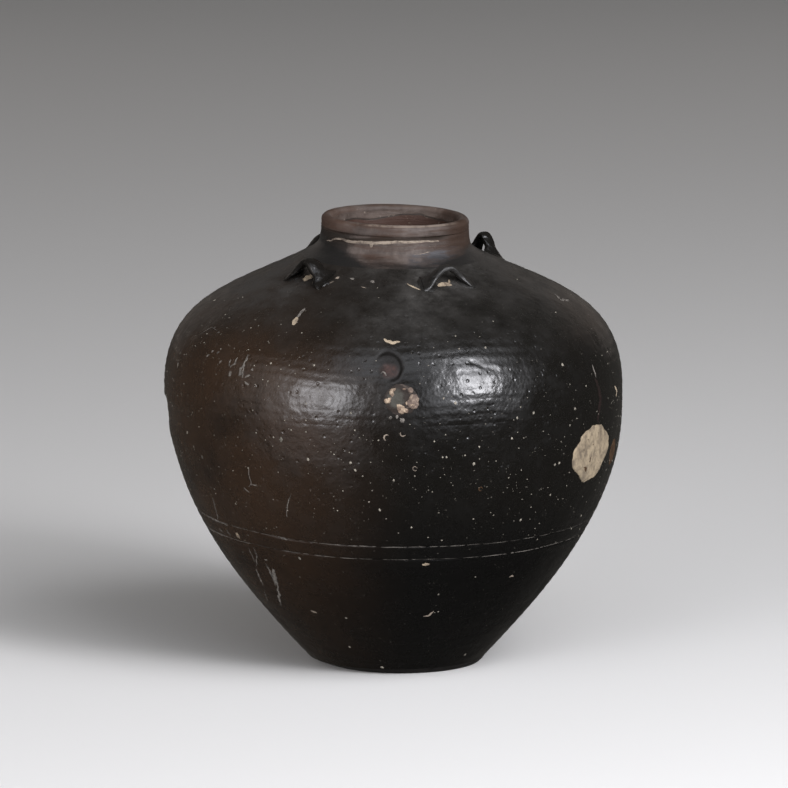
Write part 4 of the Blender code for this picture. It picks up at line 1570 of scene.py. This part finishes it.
@dataclass
class StuckScars:
    """The stuck clay on the belly: five crumbs at the front and a pale patch on the right."""

    form: JarForm
    front_azimuth: float = 2.0
    front_rise: float = 0.0265
    front_half_width: float = 0.0165
    front_half_height: float = 0.0125
    crumb_size: float = 0.0046
    crumb_crown: float = 0.0021
    crown_share: float = 0.8
    crust_shares: Point = (0.98, 1.22)
    crust_crown: float = 0.0005
    patch_azimuth: float = 60.0
    patch_drop: float = 0.048
    patch_half_width: float = 0.031
    patch_half_height: float = 0.028
    patch_crown: float = 0.0017
    crumb_shares: dict[str, tuple[float, float, float]] = field(default_factory=lambda: {
        "scar_crumb_top_left": (-0.56, 0.58, 0.95),
        "scar_crumb_left": (-0.84, -0.12, 0.90),
        "scar_crumb_bottom": (0.04, -0.92, 1.15),
        "scar_crumb_right": (0.68, -0.34, 1.20),
        "scar_crumb_top_right": (0.56, 0.72, 0.80),
    })
    crumb_outlines: dict[str, Path] = field(default_factory=lambda: {
        "scar_crumb_top_left": (
            (0.98, 0.98), (0.23, 0.80), (-0.57, 0.18), (-0.68, -0.25), (-0.34, -0.68), (-0.05, -1.18),
            (0.32, -0.80), (0.30, -0.07), (0.55, 0.24),
        ),
        "scar_crumb_left": (
            (0.99, 0.95), (0.02, 0.60), (-0.95, 0.22), (-0.55, -0.48), (0.15, -0.46), (0.86, 0.22),
        ),
        "scar_crumb_bottom": (
            (-1.20, 1.35), (-0.35, 1.50), (0.20, 1.05), (0.60, 0.70), (1.20, 0.45), (0.93, -0.27),
            (0.42, -0.17), (-0.30, -0.38), (-0.81, 0.13), (-0.93, 0.75),
        ),
        "scar_crumb_right": (
            (-0.40, 1.57), (0.72, 1.71), (0.94, 1.18), (1.03, 0.21), (0.83, -0.59), (0.14, -0.90),
            (-0.63, -0.59), (-1.12, -0.10), (-1.22, 0.30), (-0.75, 0.85),
        ),
        "scar_crumb_top_right": (
            (0.75, 0.10), (0.50, 0.65), (-0.30, 0.75), (-0.75, 0.00), (-0.40, -0.65), (0.40, -0.65),
        ),
    })
    dull_crumbs: tuple[str, ...] = ("scar_crumb_right", "scar_crumb_top_right")
    patch_shares: Path = (
        (0.26, 1.00), (0.72, 0.80), (1.16, 0.34), (1.20, -0.05), (0.86, -0.56), (0.46, -0.94),
        (-0.02, -1.06), (-0.22, -1.04), (-0.62, -0.72), (-0.90, -0.44), (-1.20, -0.05), (-1.14, 0.28),
        (-0.98, 0.42), (-0.80, 0.64), (-0.44, 0.88), (-0.12, 0.97),
    )

    def crumbs(self, skin: Skin, clay: Material, dull_clay: Material) -> dict[str, Piece]:
        """Return the five crumbs by the node that each replaces, two of them in dull clay."""
        made = {}
        for seed, (node, (across, up, size)) in enumerate(self.crumb_shares.items()):
            azimuth = self.front_azimuth + math.degrees(across * self.front_half_width / self.form.belly_radius)
            height = self.form.belly_height + self.front_rise + up * self.front_half_height
            half = self.crumb_size * size
            shell = Shell()
            Lump(
                azimuth, height, half, half, self.crumb_crown * size * self.crown_share, 20 + seed,
                self.crumb_outlines[node], ragged_share=0.16, rough_share=0.30, rings=9, sides=48,
            ).add_to(shell, skin)
            made[node] = shell.made(f"rough_{node}", dull_clay if node in self.dull_crumbs else clay)
        return made

    def crust(self, skin: Skin, clay: Material) -> Piece:
        """Return the dull crust that the crumbs stand in."""
        shell, (wide, high) = Shell(), self.crust_shares
        Lump(
            self.front_azimuth, self.form.belly_height + self.front_rise, self.front_half_width * wide,
            self.front_half_height * high, self.crust_crown, 35, rough_share=0.5, rings=12, sides=64,
        ).add_to(shell, skin)
        return shell.made("front_crust", clay)

    def rubble(self, skin: Skin, clay: Material) -> Piece:
        """Return the lower lumps that join the crumbs."""
        shell = Shell()
        places = (
            (2.7, 0.3136, 0.0017, 0.0012, 0.0008),
            (4.8, 0.2984, 0.0038, 0.0016, 0.0026),
            (3.3, 0.3000, 0.0013, 0.0019, 0.0014),
        )
        for seed, place in enumerate(places, 80):
            Lump(*place, seed, ragged_share=0.20, edge_power=2.0, sides=28).add_to(shell, skin)
        return shell.made("front_rubble", clay)

    def patch(self, skin: Skin, clay: Material) -> Piece:
        """Return the pale patch."""
        shell = Shell()
        Lump(
            self.patch_azimuth, self.form.belly_height - self.patch_drop, self.patch_half_width,
            self.patch_half_height, self.patch_crown, 31, shares=self.patch_shares,
            ragged_share=0.09, rough_share=0.36, edge_power=9.0, rings=22, sides=140,
        ).add_to(shell, skin)
        return shell.made("rough_side_patch", clay)


@dataclass
class SkinMarks:
    """Scratches, cracks, chips, drips and painted glints on the glaze.

    A stroke is kept as (width, lift, raggedness, seed, its (azimuth, height) points), and a lump as
    (azimuth, height, half width, half height, crown, raggedness, seed, sides, rings).
    """

    form: JarForm
    wear_seed: int = 5
    wear_lengths: Point = (1.2, 9.0)
    wear_gap: float = 0.9
    wear_width: float = 0.0006

    @staticmethod
    def strokes(*rows: tuple[float, float, float, int, Path]) -> list[Stroke]:
        """Return strokes from rows of the table."""
        return [Stroke(path, width, seed, lift, ragged) for width, lift, ragged, seed, path in rows]

    @staticmethod
    def lumps(*rows: tuple[float, float, float, float, float, float, int, int, int]) -> list[Lump]:
        """Return lumps from rows of the table."""
        return [
            Lump(*place, seed=seed, ragged_share=ragged, sides=sides, rings=rings)
            for *place, ragged, seed, sides, rings in rows
        ]

    def cream(self) -> list[Stroke | Lump]:
        """Return chips of pale clay."""
        return self.strokes(
            (0.0040, 0.00040, 0.25, 43, ((-2.7, 0.3583), (-1.8, 0.3561), (-0.2, 0.3550), (1.9, 0.3560))),
            (0.0022, 0.00040, 0.45, 44, ((6.5, 0.3999), (8.0, 0.3980), (10.0, 0.3967), (12.0, 0.3951))),
            (0.0064, 0.00080, 0.20, 45, ((21.0, 0.3976), (23.5, 0.3982), (25.5, 0.3984), (28.4, 0.3978))),
            (0.0026, 0.00100, 0.20, 54, ((28.9, 0.4014), (27.6, 0.3984))),
            (0.0058, 0.00060, 0.25, 47, ((-32.2, 0.3656), (-32.4, 0.3685), (-32.6, 0.3716))),
            (0.0032, 0.00022, 0.20, 50, ((74.0, 0.2880), (75.9, 0.2815), (75.0, 0.2765))),
        ) + self.lumps(
            (-46.8, 0.3996, 0.0052, 0.0068, 0.0006, 0.4, 46, 28, 5),
            (-53.4, 0.1470, 0.0025, 0.0038, 0.0004, 0.4, 49, 16, 4),
            (8.8, 0.1314, 0.0030, 0.0018, 0.0004, 0.7, 52, 18, 4),
        )

    def slip(self) -> list[Stroke | Lump]:
        """Return the line of slip under the lip, with its run, dull smears on the shoulder, and two painted
        glints below the neck.
        """
        under_lip = (
            (-65.5, 0.4278), (-58.5, 0.4289), (-52.5, 0.4321), (-45.5, 0.4326), (-39.0, 0.4319),
            (-34.0, 0.4316), (-27.0, 0.4324), (-18.5, 0.4325), (-10.5, 0.4333), (-2.5, 0.4340),
            (3.0, 0.4345), (11.0, 0.4347), (19.5, 0.4348), (28.0, 0.4350), (36.0, 0.4344),
        )
        smear = (
            (-41.5, 0.3967), (-38.5, 0.3962), (-36.0, 0.3960),
            (-33.5, 0.3965), (-32.0, 0.3975), (-30.5, 0.3993),
        )
        return [Stroke(under_lip, 0.0031, 41, 0.0004, 0.22, 0.0016)] + self.strokes(
            (0.0008, 0.00022, 0.90, 40, ((14.4, 0.4222), (19.2, 0.4226), (23.3, 0.4235), (27.6, 0.4244))),
            # Painted glint: a short pale highlight on the shoulder below the neck.
            (0.0010, 0.00022, 0.45, 56, ((-15.4, 0.3969), (-14.0, 0.3964), (-12.8, 0.3962))),
            (0.0011, 0.00022, 0.45, 57, smear),
            (0.0022, 0.00022, 0.45, 58, ((10.5, 0.0706), (12.5, 0.0712), (14.0, 0.0769))),
            (0.0024, 0.00022, 0.45, 59, ((-35.5, 0.0722), (-33.0, 0.0700))),
            (0.0026, 0.00022, 0.45, 64, ((40.0, 0.1086), (41.0, 0.1098), (42.0, 0.1090))),
            (0.0009, 0.00022, 0.45, 65, arc_path((5.0, 0.2347), 0.0022, (0.0, 320.0), self.form)),
            (0.0014, 0.00022, 0.45, 66, arc_path((-1.6, 0.2660), 0.0030, (60.0, 250.0), self.form)),
            (0.0013, 0.00022, 0.45, 67, arc_path((2.4, 0.2702), 0.0028, (150.0, 330.0), self.form)),
        ) + self.lumps(
            (-18.5, 0.4312, 0.0017, 0.0032, 0.0005, 0.4, 42, 20, 4),
            # Painted glint: a pale highlight on the shoulder below the neck.
            (-30.4, 0.4020, 0.0018, 0.0024, 0.0003, 0.5, 58, 18, 4),
        )

    def specks(self) -> list[Stroke | Lump]:
        """Return the larger grains, each kept as (azimuth, height, half width)."""
        grains = (
            (-81.0, 0.3683, 0.0012), (-66.5, 0.3778, 0.0007), (-62.5, 0.3637, 0.0007), (-59.0, 0.3625, 0.0006),
            (-71.5, 0.3111, 0.0014), (-33.5, 0.3316, 0.0009), (-28.0, 0.3316, 0.0007), (-21.0, 0.3334, 0.0008),
            (-29.0, 0.2586, 0.0020), (-26.0, 0.2696, 0.0008), (-22.0, 0.2689, 0.0008), (-9.5, 0.2730, 0.0008),
            (-10.5, 0.2900, 0.0010), (-65.0, 0.2470, 0.0012), (-62.0, 0.2347, 0.0009), (-58.5, 0.2266, 0.0014),
            (-22.0, 0.2412, 0.0013), (-11.0, 0.2400, 0.0011), (-10.0, 0.2325, 0.0012), (-48.5, 0.1838, 0.0008),
            (-30.5, 0.1331, 0.0015), (-4.5, 0.1914, 0.0014), (-20.5, 0.0675, 0.0011), (-24.5, 0.0318, 0.0011),
            (-9.0, 0.0084, 0.0014), (49.0, 0.3240, 0.0014), (26.0, 0.3480, 0.0011), (51.5, 0.2796, 0.0013),
            (49.5, 0.2638, 0.0010), (20.0, 0.2372, 0.0014), (44.5, 0.2266, 0.0011), (46.0, 0.2274, 0.0012),
            (37.0, 0.2826, 0.0013), (32.0, 0.2796, 0.0010), (21.5, 0.2540, 0.0009), (30.5, 0.2596, 0.0010),
            (12.0, 0.2455, 0.0009), (13.0, 0.2455, 0.0009), (-0.5, 0.2226, 0.0010), (36.0, 0.1726, 0.0013),
            (64.5, 0.1615, 0.0010), (4.0, 0.1726, 0.0009), (44.5, 0.1952, 0.0010), (14.5, 0.0960, 0.0009),
            (43.0, 0.0177, 0.0014), (33.0, 0.3683, 0.0008), (12.5, 0.3040, 0.0010), (15.5, 0.2990, 0.0013),
        )
        return self.lumps(*(
            (azimuth, height, half, half * 1.15, half * 0.35, 0.6, index, 14, 3)
            for index, (azimuth, height, half) in enumerate(grains)
        ))

    def grey(self) -> list[Stroke | Lump]:
        """Return scratches, each kept as (width, its points), scuffs, and painted glints."""
        scratches: tuple[tuple[float, Path], ...] = (
            (0.0023, ((-44.8, 0.3328), (-45.4, 0.3268), (-46.4, 0.3222))),
            (0.0020, ((-47.1, 0.3297), (-47.2, 0.3236))),
            (0.0022, ((-41.7, 0.3366), (-41.5, 0.3321), (-42.1, 0.3271))),
            (0.0048, ((-42.0, 0.3285), (-42.4, 0.3215), (-42.9, 0.3165))),
            (0.0020, ((-41.6, 0.3250), (-41.4, 0.3200), (-41.6, 0.3150))),
            (0.0022, ((-40.6, 0.3150), (-39.2, 0.3197))), (0.0024, ((-40.4, 0.3119), (-39.0, 0.3091))),
            (0.0024, ((-38.9, 0.3248), (-38.6, 0.3225))), (0.0022, ((-57.0, 0.3270), (-56.2, 0.3300))),
            (0.0018, ((-55.8, 0.3322), (-55.2, 0.3345))), (0.0016, ((-53.4, 0.3322), (-52.6, 0.3345))),
            (0.0016, ((-51.0, 0.3240), (-50.2, 0.3270))), (0.0014, ((-61.8, 0.3515), (-61.0, 0.3530))),
            (0.0014, ((-58.4, 0.3490), (-57.4, 0.3505))),
            (0.0006, ((-66.0, 0.3435), (-64.5, 0.3480), (-63.0, 0.3523), (-59.0, 0.3509))),
            (0.0014, ((-72.0, 0.3140), (-71.4, 0.3080))),
            (0.0014, ((-50.7, 0.1354), (-50.8, 0.1277), (-51.3, 0.1172))),
            (0.0014, ((-47.7, 0.1370), (-48.3, 0.1288), (-51.4, 0.1150))),
            (0.0020, ((-52.9, 0.1115), (-54.3, 0.0985), (-55.0, 0.0915))),
            (0.0010, ((-57.1, 0.0852), (-60.7, 0.0727))), (0.0012, ((-45.4, 0.1257), (-43.9, 0.1253))),
            (0.0024, ((-45.9, 0.1205), (-45.4, 0.1136), (-45.9, 0.1045), (-46.6, 0.0950))),
            (0.0060, ((-43.4, 0.1160), (-44.3, 0.1100), (-45.0, 0.1053), (-46.0, 0.0955))),
            (0.0030, ((-45.8, 0.0975), (-47.7, 0.0877), (-51.6, 0.0715))),
            (0.0016, ((-59.0, 0.1838), (-60.0, 0.1726), (-60.6, 0.1640), (-61.4, 0.1590))),
            (0.0020, ((-69.3, 0.1588), (-64.5, 0.1578), (-60.7, 0.1571), (-56.7, 0.1562))),
            (0.0018, ((-75.7, 0.1415), (-65.4, 0.1418), (-57.3, 0.1413))),
            (0.0022, ((-36.3, 0.1538), (-35.2, 0.1536), (-33.0, 0.1527))),
            (0.0020, ((-63.4, 0.1480), (-62.6, 0.1455))), (0.0024, ((-58.8, 0.1500), (-57.6, 0.1450))),
            (0.0010, ((-40.0, 0.2266), (-40.6, 0.2187), (-40.4, 0.2090), (-41.6, 0.2050))),
            (0.0014, ((-43.6, 0.2030), (-41.8, 0.1985))), (0.0014, ((-41.0, 0.2082), (-38.6, 0.2074))),
            (0.0009, ((-28.4, 0.2030), (-29.5, 0.1952), (-30.4, 0.1860), (-31.0, 0.1780))),
            (0.0030, ((76.8, 0.3768), (74.1, 0.3739), (73.4, 0.3718))),
            (0.0034, ((73.4, 0.3722), (76.4, 0.3706), (79.0, 0.3700))),
        )
        return self.strokes(
            *((width, 0.00022, 0.70, 60 + index, path) for index, (width, path) in enumerate(scratches)),
            (0.0034, 0.00020, 0.60, 53, ((-32.6, 0.3700), (-32.8, 0.3750), (-32.7, 0.3788))),
            # Painted highlight: a pale glint on the crack's top.
            (0.0017, 0.00050, 0.15, 89, ((61.5, 0.3172), (61.7, 0.3110), (62.1, 0.3045))),
            (0.0017, 0.00040, 0.45, 48, ((-3.2, 0.3281), (-2.7, 0.3294), (-2.2, 0.3283), (-1.8, 0.3259))),
        ) + self.lumps(
            # The first two lumps are painted glints: pale highlights on the shoulder below the neck.
            (-22.0, 0.4023, 0.0024, 0.0016, 0.0004, 0.5, 54, 20, 4),
            (-10.9, 0.4009, 0.0022, 0.0022, 0.0005, 0.5, 55, 20, 4),
            (-45.9, 0.3166, 0.0018, 0.0027, 0.0002, 0.4, 97, 18, 4),
            (-0.7, 0.2858, 0.0018, 0.0017, 0.0005, 0.5, 98, 18, 4),
            (0.9, 0.2870, 0.0014, 0.0020, 0.0005, 0.5, 99, 18, 4),
            (2.2, 0.2834, 0.0021, 0.0022, 0.0005, 0.5, 100, 18, 4),
        )

    def crack(self) -> list[Stroke | Lump]:
        """Return the dark red crack above the pale patch."""
        path = ((61.5, 0.3045), (62.4, 0.2956), (63.6, 0.2829), (62.6, 0.2730), (62.2, 0.2580))
        return self.strokes((0.0060, 0.00020, 0.50, 90, path))

    def red(self) -> list[Stroke | Lump]:
        """Return the rubbed place beside the pale patch and the dark slits and spots on it."""
        return self.strokes(
            (0.0235, 0.00022, 0.08, 91, ((75.3, 0.2335), (75.2, 0.2248), (75.5, 0.2170), (75.3, 0.2075))),
            (0.0016, 0.00240, 0.20, 93, ((58.4, 0.2290), (58.7, 0.2243), (58.7, 0.2196))),
            (0.0046, 0.00240, 0.30, 94, ((56.1, 0.2201), (57.0, 0.2155), (57.9, 0.2105))),
            (0.0012, 0.00022, 0.45, 92, arc_path((22.0, 0.2107), 0.0020, (0.0, 300.0), self.form)),
        ) + self.lumps(
            (59.5, 0.2388, 0.0009, 0.0011, 0.0022, 0.1, 95, 14, 3),
            (56.8, 0.2455, 0.0007, 0.0009, 0.0020, 0.1, 96, 14, 3),
        )

    def line_wear(self, lower: LowerWall) -> list[Stroke | Lump]:
        """Return the pale, broken wear in the two cut lines."""
        dice = np.random.default_rng(self.wear_seed)
        worn: list[Stroke | Lump] = []
        for level, climb in lower.lines:
            start = -180.0
            while start < 180.0:
                length, gap = float(dice.uniform(*self.wear_lengths)), float(dice.exponential(self.wear_gap))
                places = np.linspace(start, start + length, 6)
                heights = lower.line_height(places, level, climb) + float(dice.normal(0.0, 0.00015))
                path = tuple(zip(places.tolist(), heights.tolist()))
                width = self.wear_width * (1.0 + float(dice.random()) ** 2)
                width *= 1.0 - 0.35 * float(soft_step(np.array((start - 30.0) / 30.0)))
                worn.append(Stroke(path, width, int(dice.integers(1000)), 0.00012, 0.3, 0.0020))
                start += length + gap
        return worn


# The studio


@dataclass(frozen=True)
class SoftBox:
    """A soft light seen from the jar between two azimuths and two elevations, in degrees.

    One that is not mirrored only lights the clay and leaves no highlight in the glaze. A feathered
    one is hung in three sizes, so that its edge fades over that many degrees.
    """

    name: str
    azimuths: Point
    elevations: Point
    radiance: float
    colour: Colour
    distance: float = 4.6
    mirrored: bool = True
    feather: float = 0.0
    layer_gap: float = 0.02

    def hang(self, target: Vector) -> None:
        """Hang the light, facing the jar."""
        steps = (-0.5, 0.0, 0.5) if self.feather else (0.0,)
        for step in steps:
            self.hang_layer(target, step, self.radiance / len(steps))

    def hang_layer(self, target: Vector, step: float, radiance: float) -> None:
        """Hang one layer of the light.

        Args:
            target: the point that the light faces.
            step: the share of the feather by which each edge lies further out.
            radiance: the layer's radiance.
        """
        azimuth = sum(self.azimuths) / 2
        elevation = sum(self.elevations) / 2
        grown = 2 * step * self.feather
        away = self.distance + step * self.layer_gap
        width = 2 * away * math.tan(math.radians(self.azimuths[1] - self.azimuths[0] + grown) / 2)
        height = 2 * away * math.tan(math.radians(self.elevations[1] - self.elevations[0] + grown) / 2)
        lamp = bpy.data.lights.new(self.name, "AREA")
        lamp.shape = "RECTANGLE"
        lamp.size, lamp.size_y = width, height
        lamp.energy = radiance * math.pi * width * height
        lamp.color = self.colour
        way = Vector(polar(azimuth, math.cos(math.radians(elevation)), math.sin(math.radians(elevation))))
        light = placed(self.name, lamp)
        light.location = target + way * away
        light.rotation_euler = way.to_track_quat("Z", "Y").to_euler()
        light.visible_glossy = self.mirrored


@dataclass(frozen=True)
class Studio:
    """A plain pale floor, soft boxes on both sides, a low grey sky and the camera."""

    camera_place: tuple[float, float, float] = (0.0, -10.0, 2.0546)
    camera_aim: tuple[float, float, float] = (0.0007, 0.0, 0.2687)
    lens: float = 464.4
    camera_reach: float = 100.0
    floor_size: float = 30.0
    floor_colour: Colour = (0.60, 0.595, 0.58)
    floor_rough: float = 0.9
    sky_colour: Colour = (1.0, 0.95, 0.87)
    sky_strength: float = 0.075
    light_aim: tuple[float, float, float] = (0.0, 0.0, 0.28)
    boxes: tuple[SoftBox, ...] = (
        SoftBox("left_window", (-49.0, -21.0), (-2.0, 22.0), 5.6, (0.94, 0.95, 1.0)),
        SoftBox("left_pane", (-42.0, -28.0), (1.0, 16.0), 4.4, (0.93, 0.94, 1.0)),
        SoftBox("left_wall", (-59.0, -16.0), (-2.0, 32.0), 1.25, (1.0, 0.93, 0.92), feather=13.0),
        SoftBox("left_glow", (-84.0, -57.0), (-4.0, 34.0), 0.6, (1.0, 0.92, 0.89), feather=12.0),
        SoftBox("left_floor", (-66.0, -20.0), (-23.0, -5.0), 0.75, (1.0, 0.88, 0.86), feather=10.0),
        SoftBox("left_top", (-27.0, -1.0), (33.0, 64.0), 1.7, (0.86, 0.91, 1.0), feather=16.0),
        SoftBox("right_window", (35.8, 50.5), (12.0, 33.5), 27.0, (0.955, 0.955, 1.0)),
        SoftBox("right_top", (40.0, 50.0), (34.0, 54.0), 9.5, (0.94, 0.945, 1.0)),
        SoftBox("right_sill", (16.0, 34.0), (2.0, 17.0), 1.9, (0.90, 0.92, 1.0), feather=7.0),
        SoftBox("right_wall", (19.0, 64.0), (1.0, 62.0), 1.08, (0.90, 0.93, 1.0), feather=12.0),
        SoftBox("right_low", (8.0, 54.0), (-14.0, 4.0), 0.06, (0.90, 0.93, 1.0), feather=8.0),
        SoftBox("soft_key", (18.0, 60.0), (14.0, 60.0), 3.5, (0.96, 0.96, 1.0), mirrored=False),
        SoftBox("left_rim", (-170.0, -142.0), (0.0, 28.0), 0.12, (1.0, 0.86, 0.79)),
        SoftBox("right_rim", (142.0, 170.0), (0.0, 28.0), 0.13, (1.0, 0.86, 0.79)),
    )

    def build(self) -> None:
        """Make the studio round the finished jar."""
        self.lay_floor()
        self.light()
        self.set_camera()

    def lay_floor(self) -> None:
        """Lay the plain pale floor."""
        half = self.floor_size / 2
        corners = [(-half, -half, 0.0), (half, -half, 0.0), (half, half, 0.0), (-half, half, 0.0)]
        mesh = mesh_of("studio_floor", corners, [(0, 1, 2, 3)])
        paint = bpy.data.materials.new("studio_floor_paint")
        paint.use_nodes = True
        shader = paint.node_tree.nodes["Principled BSDF"]
        shader.inputs["Base Color"].default_value = (*self.floor_colour, 1.0)
        shader.inputs["Roughness"].default_value = self.floor_rough
        mesh.materials.append(paint)
        floor = placed("studio_floor", mesh)
        floor.visible_glossy = False

    def light(self) -> None:
        """Hang the soft boxes and set the sky."""
        for box in self.boxes:
            box.hang(Vector(self.light_aim))
        world = bpy.data.worlds.new("studio_sky")
        world.use_nodes = True
        background = world.node_tree.nodes["Background"]
        background.inputs["Color"].default_value = (*self.sky_colour, 1.0)
        background.inputs["Strength"].default_value = self.sky_strength
        bpy.context.scene.world = world
        bpy.context.scene.view_settings.view_transform = "Standard"

    def set_camera(self) -> None:
        """Put the camera where the photograph was taken from."""
        data = bpy.data.cameras.new("studio_camera")
        data.lens = self.lens
        data.clip_end = self.camera_reach
        camera = placed("studio_camera", data)
        camera.location = self.camera_place
        look = Vector(self.camera_aim) - Vector(self.camera_place)
        camera.rotation_euler = look.to_track_quat("-Z", "Y").to_euler()
        bpy.context.scene.camera = camera


# The jar


@dataclass
class StorageJar:
    """The dressed jar, built in the order in which a potter would build it."""

    form: JarForm = field(default_factory=JarForm)
    thrown: ThrownWall = field(default_factory=ThrownWall)
    grit: KilnGrit = field(default_factory=KilnGrit)

    def __post_init__(self) -> None:
        """Mix the finishes."""
        finishes = {
            "glaze": BlackGlaze("black_brown_glaze_finish", Slot.GLAZE, ior=1.5),
            "lug": BlackGlaze(
                "glossy_lug_glaze_finish", Slot.GLAZE, ior=1.5,
                brown=(0.0085, 0.0068, 0.0058), dust_share=0.10, smoothest=0.17,
            ),
            "worn_lug": BlackGlaze(
                "worn_lug_glaze_finish", Slot.GLAZE, ior=1.5,
                brown=(0.0150, 0.0105, 0.0080), dust_share=0.30, smoothest=0.34,
            ),
            "neck": BareClay("bare_neck_clay_finish", Slot.NECK, ior=1.45),
            "foot": PlainClay(
                "foot_clay_finish", Slot.FOOT, light=(0.012, 0.010, 0.009), dark=(0.004, 0.0035, 0.003),
                stain=(0.05, 0.04, 0.03), grain=60.0, stain_share=0.2, rough=0.6,
            ),
            "crust": ScarCrust("dull_crust_finish", Slot.SCAR),
        }
        stuck: dict[str, tuple[str, Colour, Colour, dict[str, float]]] = {
            "crumb": (
                "pale_scar_clay", (0.300, 0.232, 0.165), (0.095, 0.064, 0.046),
                {"grain": 230.0, "stain_share": 0.50, "dark_bias": 0.05},
            ),
            "dull_crumb": (
                "dull_scar_clay", (0.215, 0.165, 0.122), (0.080, 0.057, 0.045),
                {"grain": 200.0, "stain_share": 0.50, "dark_bias": 0.09},
            ),
            "patch": (
                "pale_patch", (0.226, 0.180, 0.119), (0.100, 0.077, 0.053), {"grain": 130.0, "fibre": 1.5},
            ),
            "cream": ("cream_chip", (0.290, 0.235, 0.165), (0.120, 0.092, 0.066), {}),
            # Also the tone of two painted glints on the shoulder.
            "slip": ("slip", (0.190, 0.155, 0.122), (0.070, 0.054, 0.042), {"grain": 190.0}),
            "speck": ("kiln_grit", (0.208, 0.188, 0.153), (0.048, 0.043, 0.035), {"grain": 45.0}),
            # Also the tone of painted glints on the shoulder and on the crack.
            "grey": ("grey_scratch", (0.125, 0.112, 0.098), (0.030, 0.026, 0.022), {"grain": 260.0}),
            "wear": ("cut_line_wear", (0.100, 0.090, 0.078), (0.022, 0.019, 0.016), {}),
            "red": ("red_brown", (0.0520, 0.0270, 0.0125), (0.0180, 0.0110, 0.0070), {"shine": 0.2}),
            "crack": ("dark_crack", (0.0090, 0.0045, 0.0034), (0.0045, 0.0030, 0.0026), {"shine": 0.25}),
        }
        for key, (name, light, dark, more) in stuck.items():
            finishes[key] = PlainClay(f"{name}_finish", Slot.SCAR, light=light, dark=dark, **more)
        self.clays = {key: finish.material() for key, finish in finishes.items()}

    def keep(self, piece: Piece, node: str = "") -> None:
        """Fasten a finished piece to the frame and report it.

        Args:
            piece: the piece.
            node: the frame's node that it replaces, if it replaces one.
        """
        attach(piece, BODY)
        if node:
            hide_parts(node)
        LOG.info("%s: %d faces, replaces %s", piece.name, len(piece.data.polygons), node or "nothing")

    def walls(self) -> list[Piece]:
        """Turn, shape and keep the five sections of the wall."""
        form = self.form
        sections = (
            BaseDisc(form, "thrown_base_disc", "base_disc", Slot.FOOT),
            LowerWall(form, "thrown_lower_wall", "lower_body", Slot.GLAZE),
            ShoulderWall(form, "thrown_shoulder_wall", "shoulder", Slot.GLAZE),
            Neck(form, "thrown_neck", "neck", Slot.NECK),
            RolledLip(form, "rolled_lip", "lip", Slot.NECK),
        )
        clay_of = {Slot.FOOT: "foot", Slot.GLAZE: "glaze", Slot.NECK: "neck"}
        tree = self.thrown.tree()
        made = [section.build() for section in sections]
        for section, piece in zip(sections, made):
            shaped_by(piece, tree, {**self.thrown.values(), "Clay": self.clays[clay_of[section.slot]]})
            smooth_shaded(piece.data)
            self.keep(piece, section.node)
        return made

    def lugs(self, skin: Skin) -> None:
        """Arch the four lugs on the shoulder."""
        lugs = (
            StrapLug("lug_front_right", 26.5, self.form),
            StrapLug("lug_back_right", 128.5, self.form, 0.74, 1.27, 0.14),
            StrapLug("lug_back_left", -142.8, self.form, 0.94, 0.80),
            StrapLug("lug_front_left", -46.5, self.form, swell_share=0.32),
        )
        for seed, lug in enumerate(lugs):
            glaze = self.clays["worn_lug" if lug.node == "lug_front_right" else "lug"]
            self.keep(lug.build(skin, glaze, 70 + 3 * seed), lug.node)

    def scars(self, skin: Skin) -> None:
        """Stick the crumbs and the pale patch on the glaze."""
        scars = StuckScars(self.form)
        for node, crumb in scars.crumbs(skin, self.clays["crumb"], self.clays["dull_crumb"]).items():
            self.keep(crumb, node)
        self.keep(scars.crust(skin, self.clays["crust"]))
        self.keep(scars.rubble(skin, self.clays["crumb"]))
        self.keep(scars.patch(skin, self.clays["patch"]), "side_scar")

    def marks(self, skin: Skin) -> None:
        """Lay the scratches, chips, drips and painted glints on the skin, one piece for each tone."""
        marks = SkinMarks(self.form)
        lower = LowerWall(self.form, "", "", Slot.GLAZE)
        by_tone = {
            Tone.CREAM: ("cream", marks.cream()), Tone.SLIP: ("slip", marks.slip()),
            Tone.SPECK: ("speck", marks.specks()), Tone.GREY: ("grey", marks.grey()),
            Tone.WEAR: ("wear", marks.line_wear(lower)), Tone.RED: ("red", marks.red()),
            Tone.CRACK: ("crack", marks.crack()),
        }
        for tone, (clay, strokes) in by_tone.items():
            shell = Shell()
            for stroke in strokes:
                stroke.add_to(shell, skin)
            self.keep(shell.made(tone.value, self.clays[clay]))

    def strew(self, walls: list[Piece]) -> None:
        """Strew kiln grit over the lower wall and the shoulder."""
        points: list[Vector] = []
        faces: list[list[int]] = []
        for wall in walls:
            if wall.name not in ("thrown_lower_wall", "thrown_shoulder_wall"):
                continue
            first, (more, polygons) = len(points), mesh_lists(wall)
            points += more
            faces += [[first + index for index in face.vertices] for face in polygons if self.faces_out(face)]
        mesh = mesh_of("kiln_grit", points, faces)
        keep_values(mesh, "grit", self.grit.spread(np.array([tuple(point) for point in points])))
        grit = placed("kiln_grit", mesh)
        shaped_by(grit, self.grit.tree(), {**self.grit.values(), "Clay": self.clays["speck"]})
        grit.data.shade_smooth()
        self.keep(grit)

    @staticmethod
    def faces_out(face: Polygon) -> bool:
        """Return True where a face of a wall looks away from the jar's axis."""
        return face.normal.x * face.center.x + face.normal.y * face.center.y > 0

    def build(self) -> None:
        """Build the whole jar."""
        walls = self.walls()
        skin = Skin(self.form, walls)
        self.lugs(skin)
        self.scars(skin)
        self.marks(skin)
        self.strew(walls)


def main() -> None:
    """Dress the jar and make the studio."""
    logging.basicConfig(level=logging.INFO, format="%(name)s: %(message)s")
    StorageJar().build()
    Studio().build()


if __name__ == "__main__":
    main()
